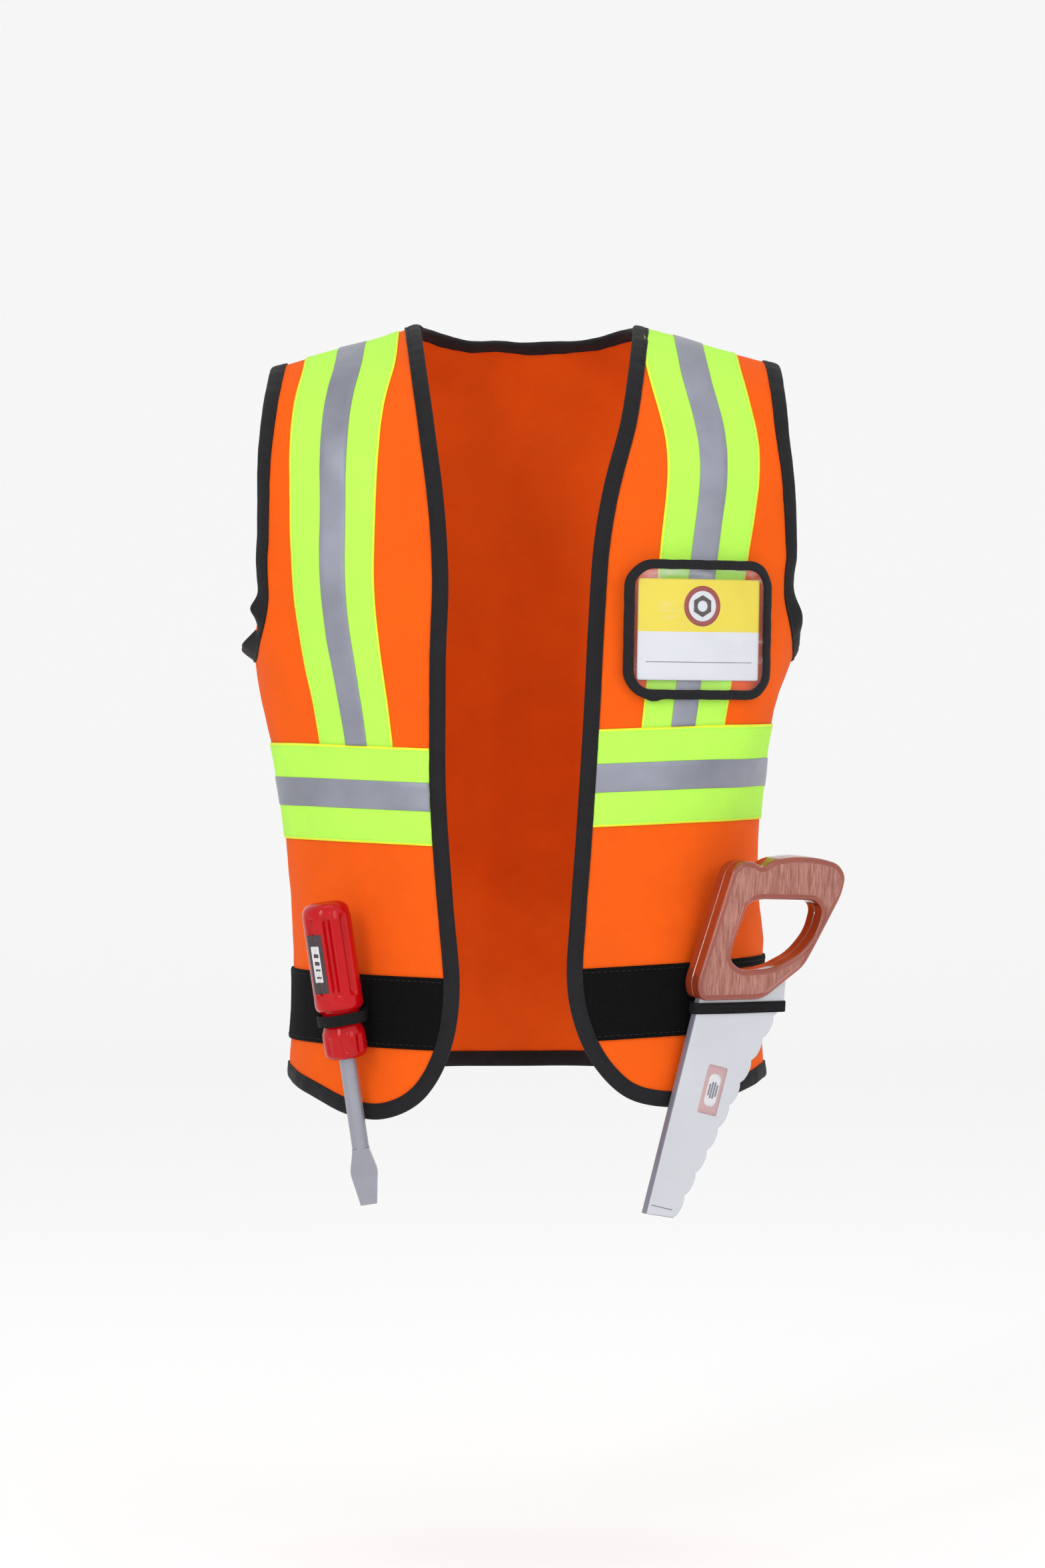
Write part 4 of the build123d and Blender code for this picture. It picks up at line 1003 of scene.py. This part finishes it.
# elastic round the neck, its two ends sewn down to the belt
turn = np.radians(np.linspace(0, 360, 97))[:-1]
section = [(11.95, -3.0), (12.55, -2.9), (12.8, -2.2), (12.8, 2.2), (12.55, 2.9), (11.95, 3.0)]
rings = []
for radius, height in section:
    rings.append(driver(radius + 0.05 * np.sin(turn * 31), turn, height + 0.12 * np.sin(turn * 3)))
rings = np.stack(rings, 1)
n, m = rings.shape[:2]
faces = torus_faces(n, m)
uv = np.stack([np.repeat((turn * 12.5)[:, None], m, 1), np.tile([0, 0.6, 1.2, 5.4, 6, 6.6], (n, 1))], -1)
tab_points, a = [], math.radians(180 - 29)
for distance, half in ((12.2, 6.4), (14.0, 7.4), (16.5, 8.6), (19.0, 9.2)):
    for side_step, height in ((-half, -3.2), (-half, 3.0), (half, 3.0), (half, -3.2)):
        tab_points.append(driver(distance, a, height) + DRIVER_X * math.cos(a) * -side_step
                          + DRIVER_Y * -math.sin(a) * side_step)
start = n * m
faces += grid_faces(4, 4, start, True)
faces += [(start, start + 1, start + 2, start + 3), (start + 12, start + 13, start + 14, start + 15)]
uv = np.vstack([uv.reshape(-1, 2), np.array([(i, i * 2) for i in range(16)], float)])
loop = make("screwdriver_elastic", np.vstack([rings.reshape(-1, 3), tab_points]), faces, [ELASTIC], None, uv,
            outward=True)
stand(loop, "right_front_flap", "black_elastic", "screwdriver_loop")


# ---- toy saw ----
SAW_LOOP = np.array((109.5, -73.2, -358.0))
yaw, tilt = math.radians(30), math.radians(5)
SAW_X = np.array((math.cos(yaw), math.sin(yaw), 0))
SAW_Y = np.array((0, 0, 1)) * math.cos(tilt) + np.array((math.sin(yaw), -math.cos(yaw), 0)) * math.sin(tilt)
SAW_N = np.cross(SAW_X, SAW_Y)
SAW_HANDLE = [(-26.5, 3), (-29, 12), (-10, 72), (-5, 76), (3, 76), (8, 72.5), (16, 77), (30, 78.5), (44, 77.5),
              (56, 74.5), (61, 68), (59, 58), (42, 28), (37, 20), (26, 12.5), (12, 3)]
SAW_OPENING = [(0, 54), (8, 56), (42, 55), (47, 50), (44, 38), (34, 27), (18, 19.5), (-2, 18.5), (-9.5, 24),
               (-8, 32)]


def saw(x, y, d):
    x, y, d = np.broadcast_arrays(*(np.asarray(q, float) for q in (x, y, d)))
    return SAW_LOOP + x[..., None] * SAW_X + y[..., None] * SAW_Y + d[..., None] * SAW_N


def rounded_polygon(points, radius, count):
    """A closed outline with its corners rounded, straight between them."""
    points = np.asarray(points, float)
    out = []
    n = len(points)
    for i in range(n):
        a, b, c = points[i - 1], points[i], points[(i + 1) % n]
        r = min(radius, 0.48 * np.linalg.norm(b - a), 0.48 * np.linalg.norm(c - b))
        p, q = b + (a - b) / np.linalg.norm(a - b) * r, b + (c - b) / np.linalg.norm(c - b) * r
        for t in np.linspace(0, 1, 9):
            out.append((1 - t) ** 2 * p + 2 * t * (1 - t) * b + t ** 2 * q)
    out.append(out[0])
    return even(out, count + 1)[:-1]


def shifted(loop, distance):
    """A loop moved to its inner side, which is on its left when it runs anticlockwise."""
    heading = unit(np.roll(loop, -2, 0) - np.roll(loop, 2, 0), 1e-9)
    return loop + np.stack([-heading[:, 1], heading[:, 0]], -1) * distance


def anticlockwise(loop):
    x, y = loop[:, 0], loop[:, 1]
    return loop if np.sum(x * np.roll(y, -1) - np.roll(x, -1) * y) > 0 else loop[::-1]


def filled(outer, holes):
    """Triangles between an outer loop and its holes. Their corners are the loops' own points, in order."""
    loops = [outer, *holes]
    points = np.vstack(loops)
    edges, start = [], 0
    for loop in loops:
        edges += [(start + i, start + (i + 1) % len(loop)) for i in range(len(loop))]
        start += len(loop)
    verts, _, faces, origin, *_ = geometry.delaunay_2d_cdt([Vector(p) for p in points], edges, [], 0, 1e-6)
    back = [o[0] if o else int(np.argmin(np.linalg.norm(points - np.array(v), axis=1)))
            for o, v in zip(origin, verts)]
    middles = np.array([np.mean([tuple(verts[i]) for i in f], 0) for f in faces])
    keep = inside_loop(middles, outer)
    for hole in holes:
        keep &= ~inside_loop(middles, hole)
    return [tuple(back[i] for i in f) for f, k in zip(faces, keep) if k]


def moulding(name, outer, holes, profile, mats, step_mats, body, slot, *replaced):
    """A flat moulding with shaped rims: profile is (inset, distance) from one face round to the other, and
    step_mats the number of the material of each step along it."""
    loops = [anticlockwise(outer)] + [anticlockwise(h)[::-1] for h in holes]
    points, faces, indices, starts, start = [], [], [], [], 0
    for loop in loops:
        points += [saw(*shifted(loop, inset).T, distance) for inset, distance in profile]
        faces += grid_faces(len(profile), len(loop), start, True)
        indices += np.repeat(step_mats, len(loop)).tolist()
        starts.append(start)
        start += len(loop) * len(profile)
    for step in (0, len(profile) - 1):
        flats = [shifted(loop, profile[step][0]) for loop in loops]
        lookup = np.concatenate([np.arange(len(f)) + s + step * len(f) for f, s in zip(flats, starts)])
        for f in filled(flats[0], flats[1:]):
            made = tuple(int(lookup[i]) for i in f)
            faces.append(made[::-1] if step else made)
            indices.append(0)
    piece = make(name, np.vstack(points), faces, mats, indices, outward=True)
    smooth_by_angle(piece, 38)
    for polygon in piece.data.polygons:
        if len(polygon.vertices) == 3:
            polygon.use_smooth = False
    return stand(piece, body, slot, *replaced)


def smooth_by_angle(piece, degrees):
    """Marks the edges that are sharper than an angle, so flat faces stay flat."""
    with edited(piece.data) as solid:
        for edge in solid.edges:
            if len(edge.link_faces) == 2 and edge.calc_face_angle(0) > math.radians(degrees):
                edge.smooth = False


handle_loop = rounded_polygon(SAW_HANDLE, 5.5, 300)
opening_loop = rounded_polygon(SAW_OPENING, 6.0, 200)
GRIP_HALF, BLADE_HALF = 7.5, 2.5     # half of the saw grip's thickness and of its blade's
rim = [(inset, GRIP_HALF - down) for inset, down in (
    (2.9, 0.55), (2.5, 0.45), (2.1, 0.05), (1.7, 0), (1.2, 0.1), (0.6, 0.45), (0.15, 1.1), (0.0, 1.9))]
rim += [(0.0, 0.45), (0.3, 0.15)]
profile = rim + [(inset, -d) for inset, d in rim[::-1]]
moulding("saw_grip", handle_loop, [opening_loop], profile, [WOOD, BROWN], [1] * (len(profile) - 1), "saw",
         "woodgrain_plastic", "saw_handle_front", "saw_handle_back")

heel, tip = np.array((28.5, 5.0)), np.array((-34.5, -112.0))
teeth = []
run_vector = (tip - heel) / 10
out_vector = np.array((-run_vector[1], run_vector[0])) / np.linalg.norm(run_vector)
for i in range(10):
    for t in np.linspace(0, 1, 14, endpoint=False):
        scallop = (4 * t * (1 - t)) ** 0.8 * 1.9 - 0.35 * math.exp(-((t - 0.97) / 0.06) ** 2)
        teeth.append(heel + run_vector * (i + t) + out_vector * scallop)
back_tip, back_top, heel_top = (-51.5, -109.0), (-20.0, 22.0), (29.0, 14.0)
blade_loop = np.vstack([even([back_tip, back_top], 60)[:-1], even([back_top, heel_top], 24)[:-1],
                        even([heel_top, heel], 6)[:-1], teeth, even([tip, back_tip], 10)[:-1]])
rim = [(inset, BLADE_HALF - down) for inset, down in ((0.7, 0), (0.35, 0.1), (0.08, 0.4), (0.0, 0.8))]
profile = rim + [(inset, -d) for inset, d in rim[::-1]]
moulding("saw_blade_plate", blade_loop, [], profile, [BLADE, SPINE], [0, 1, 1, 1, 1, 1, 0], "saw",
         "blade_grey_plastic", "saw_blade")
lean = math.radians(13.8)


def on_blade(middle):
    """A mapping for things that lie on the blade's face, turned with its back."""
    def place(u, v, d):
        u, v = np.asarray(u, float), np.asarray(v, float)
        x = middle[0] + u * math.cos(lean) + v * math.sin(lean)
        y = middle[1] - u * math.sin(lean) + v * math.cos(lean)
        return saw(x, y, d)
    return place


spot = on_blade((-14.0, -45.0))
label = disc_slab("saw_sticker", rounded_loop(12, 26, 1.2), spot, BLADE_HALF, 2.62, [STICKER_PINK], 4)
stand(label, "saw", "label", "saw_label")
stand(disc_slab("saw_sticker_middle", rounded_loop(7.6, 17.5, 3.0), spot, 2.62, 2.68, [STICKER_PALE], 4), "saw",
      "label")
for k in range(4):
    at = (k * 1.5 - 2.25, 0)
    bar = rounded_loop(1.0, 10.0 - abs(k - 1.5) * 2.5, 0.3) + np.array(at)
    stand(disc_slab(f"saw_sticker_bar_{k}", bar, spot, 2.68, 2.72, [SPINE], 2, at), "saw", "label")
tip_line = disc_slab("saw_tip_line", rounded_loop(13.4, 0.5, 0.24), on_blade((-42.0, -106.0)), BLADE_HALF,
                     2.54, [SPINE], 2)
stand(tip_line, "saw", "blade_grey_plastic")

# elastic across the blade
near, far, gap, thick, high, low = -26.9, 29.0, 2.95, 0.8, 1.4, -4.6
path = rounded_polygon([(near, gap), (far, gap), (far, -gap), (-4, -8.6), (-20, -8.6), (near, -gap)], 2.4, 220)
path = anticlockwise(path)
outer = shifted(path, -thick)
run = lengths(path)
rings = []
for loop_points, height in ((path, low), (outer, low + 0.3), (outer, low + 0.9), (outer, (low + high) / 2),
                            (outer, high - 0.9), (outer, high - 0.3), (path, high)):
    swell = 0.06 * np.sin(run * 2.2)
    rings.append(saw(loop_points[:, 0], height + 0.1 * np.sin(run / 9), loop_points[:, 1] + swell))
rings = np.stack(rings, 1)
n, m = rings.shape[:2]
uv = np.stack([np.repeat(run[:, None], m, 1), np.tile(np.linspace(0, 6, m), (n, 1))], -1).reshape(-1, 2)
loop = make("saw_elastic", rings.reshape(-1, 3), torus_faces(n, m), [ELASTIC], None, uv, outward=True)
stand(loop, "left_front_flap", "black_elastic", "saw_loop")

for name, mat in (("screwdriver_shaft", SHAFT), ("saw_screws", STEEL)):
    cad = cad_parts[name]
    cad.data.materials.clear()
    cad.data.materials.append(mat)


# ---- floor, light and camera ----
pale, tree, shader = new_shader("pale_floor")
fill(tree, shader, "Base Color", (0.95, 0.95, 0.95, 1))
fill(tree, shader, "Roughness", 0.9)
# the floor's height, how far back it goes, the radius it turns up with, and the height it ends at
FLOOR_Z, REACH, BEND, WALL = -0.66, 6.0, 1.4, 6.0
run_points = [(-8.0, FLOOR_Z)] + [(REACH - BEND + BEND * math.sin(t), FLOOR_Z + BEND - BEND * math.cos(t))
                                  for t in np.linspace(0, math.pi / 2, 24)] + [(REACH, WALL)]
points = [(x * 1000, y * 1000, z * 1000) for y, z in run_points for x in (-9, 9)]
floor = make("floor", points, [(2 * i, 2 * i + 1, 2 * i + 3, 2 * i + 2) for i in range(len(run_points) - 1)],
             [pale])
bpy.context.scene.view_settings.view_transform = "Standard"

world = bpy.data.worlds.new("studio")
bpy.context.scene.world = world
world.use_nodes = True
world.node_tree.nodes["Background"].inputs["Color"].default_value = (1.0, 1.0, 1.0, 1)
world.node_tree.nodes["Background"].inputs["Strength"].default_value = 0.95


def soft_light(name, place, aim, size, power):
    data = bpy.data.lights.new(name, "AREA")
    data.shape, data.size, data.size_y, data.energy = "RECTANGLE", size[0], size[1], power
    lamp = bpy.data.objects.new(name, data)
    lamp.location = place
    lamp.rotation_euler = (Vector(aim) - Vector(place)).to_track_quat("-Z", "Y").to_euler()
    bpy.context.scene.collection.objects.link(lamp)


VEST_AIM, DRIVER_AIM = (0, 0, -0.25), (-0.1, -0.08, -0.33)
soft_light("key", (-1.3, -2.2, 0.9), VEST_AIM, (0.35, 1.4), 11)
soft_light("fill", (1.7, -2.0, 0.5), VEST_AIM, (0.8, 1.4), 7)
soft_light("top", (0, -0.4, 2.2), (0, 0, -0.2), (1.6, 1.2), 5)
# two narrow lights that the screwdriver's glossy grip reflects
soft_light("strip_left", (-0.75, -1.9, 0.1), DRIVER_AIM, (0.05, 1.3), 3.0)
soft_light("strip_right", (0.55, -2.1, 0.1), DRIVER_AIM, (0.04, 1.3), 2.2)

# the picture's height at the vest's front, the camera's distance from there, and the point that it faces
PICTURE_HEIGHT, DISTANCE, FRONT_PLANE, AIM_X, AIM_Z = 0.8232, 2.5, -0.080, -0.00315, -0.2422
data = bpy.data.cameras.new("camera")
data.sensor_fit, data.sensor_height = "VERTICAL", 24.0
data.lens = data.sensor_height * DISTANCE / PICTURE_HEIGHT
data.clip_start, data.clip_end = 0.05, 50.0
camera = bpy.data.objects.new("camera", data)
camera.location = (AIM_X, FRONT_PLANE - DISTANCE, AIM_Z)
camera.rotation_euler = (math.pi / 2, 0, 0)
bpy.context.scene.collection.objects.link(camera)
bpy.context.scene.camera = camera
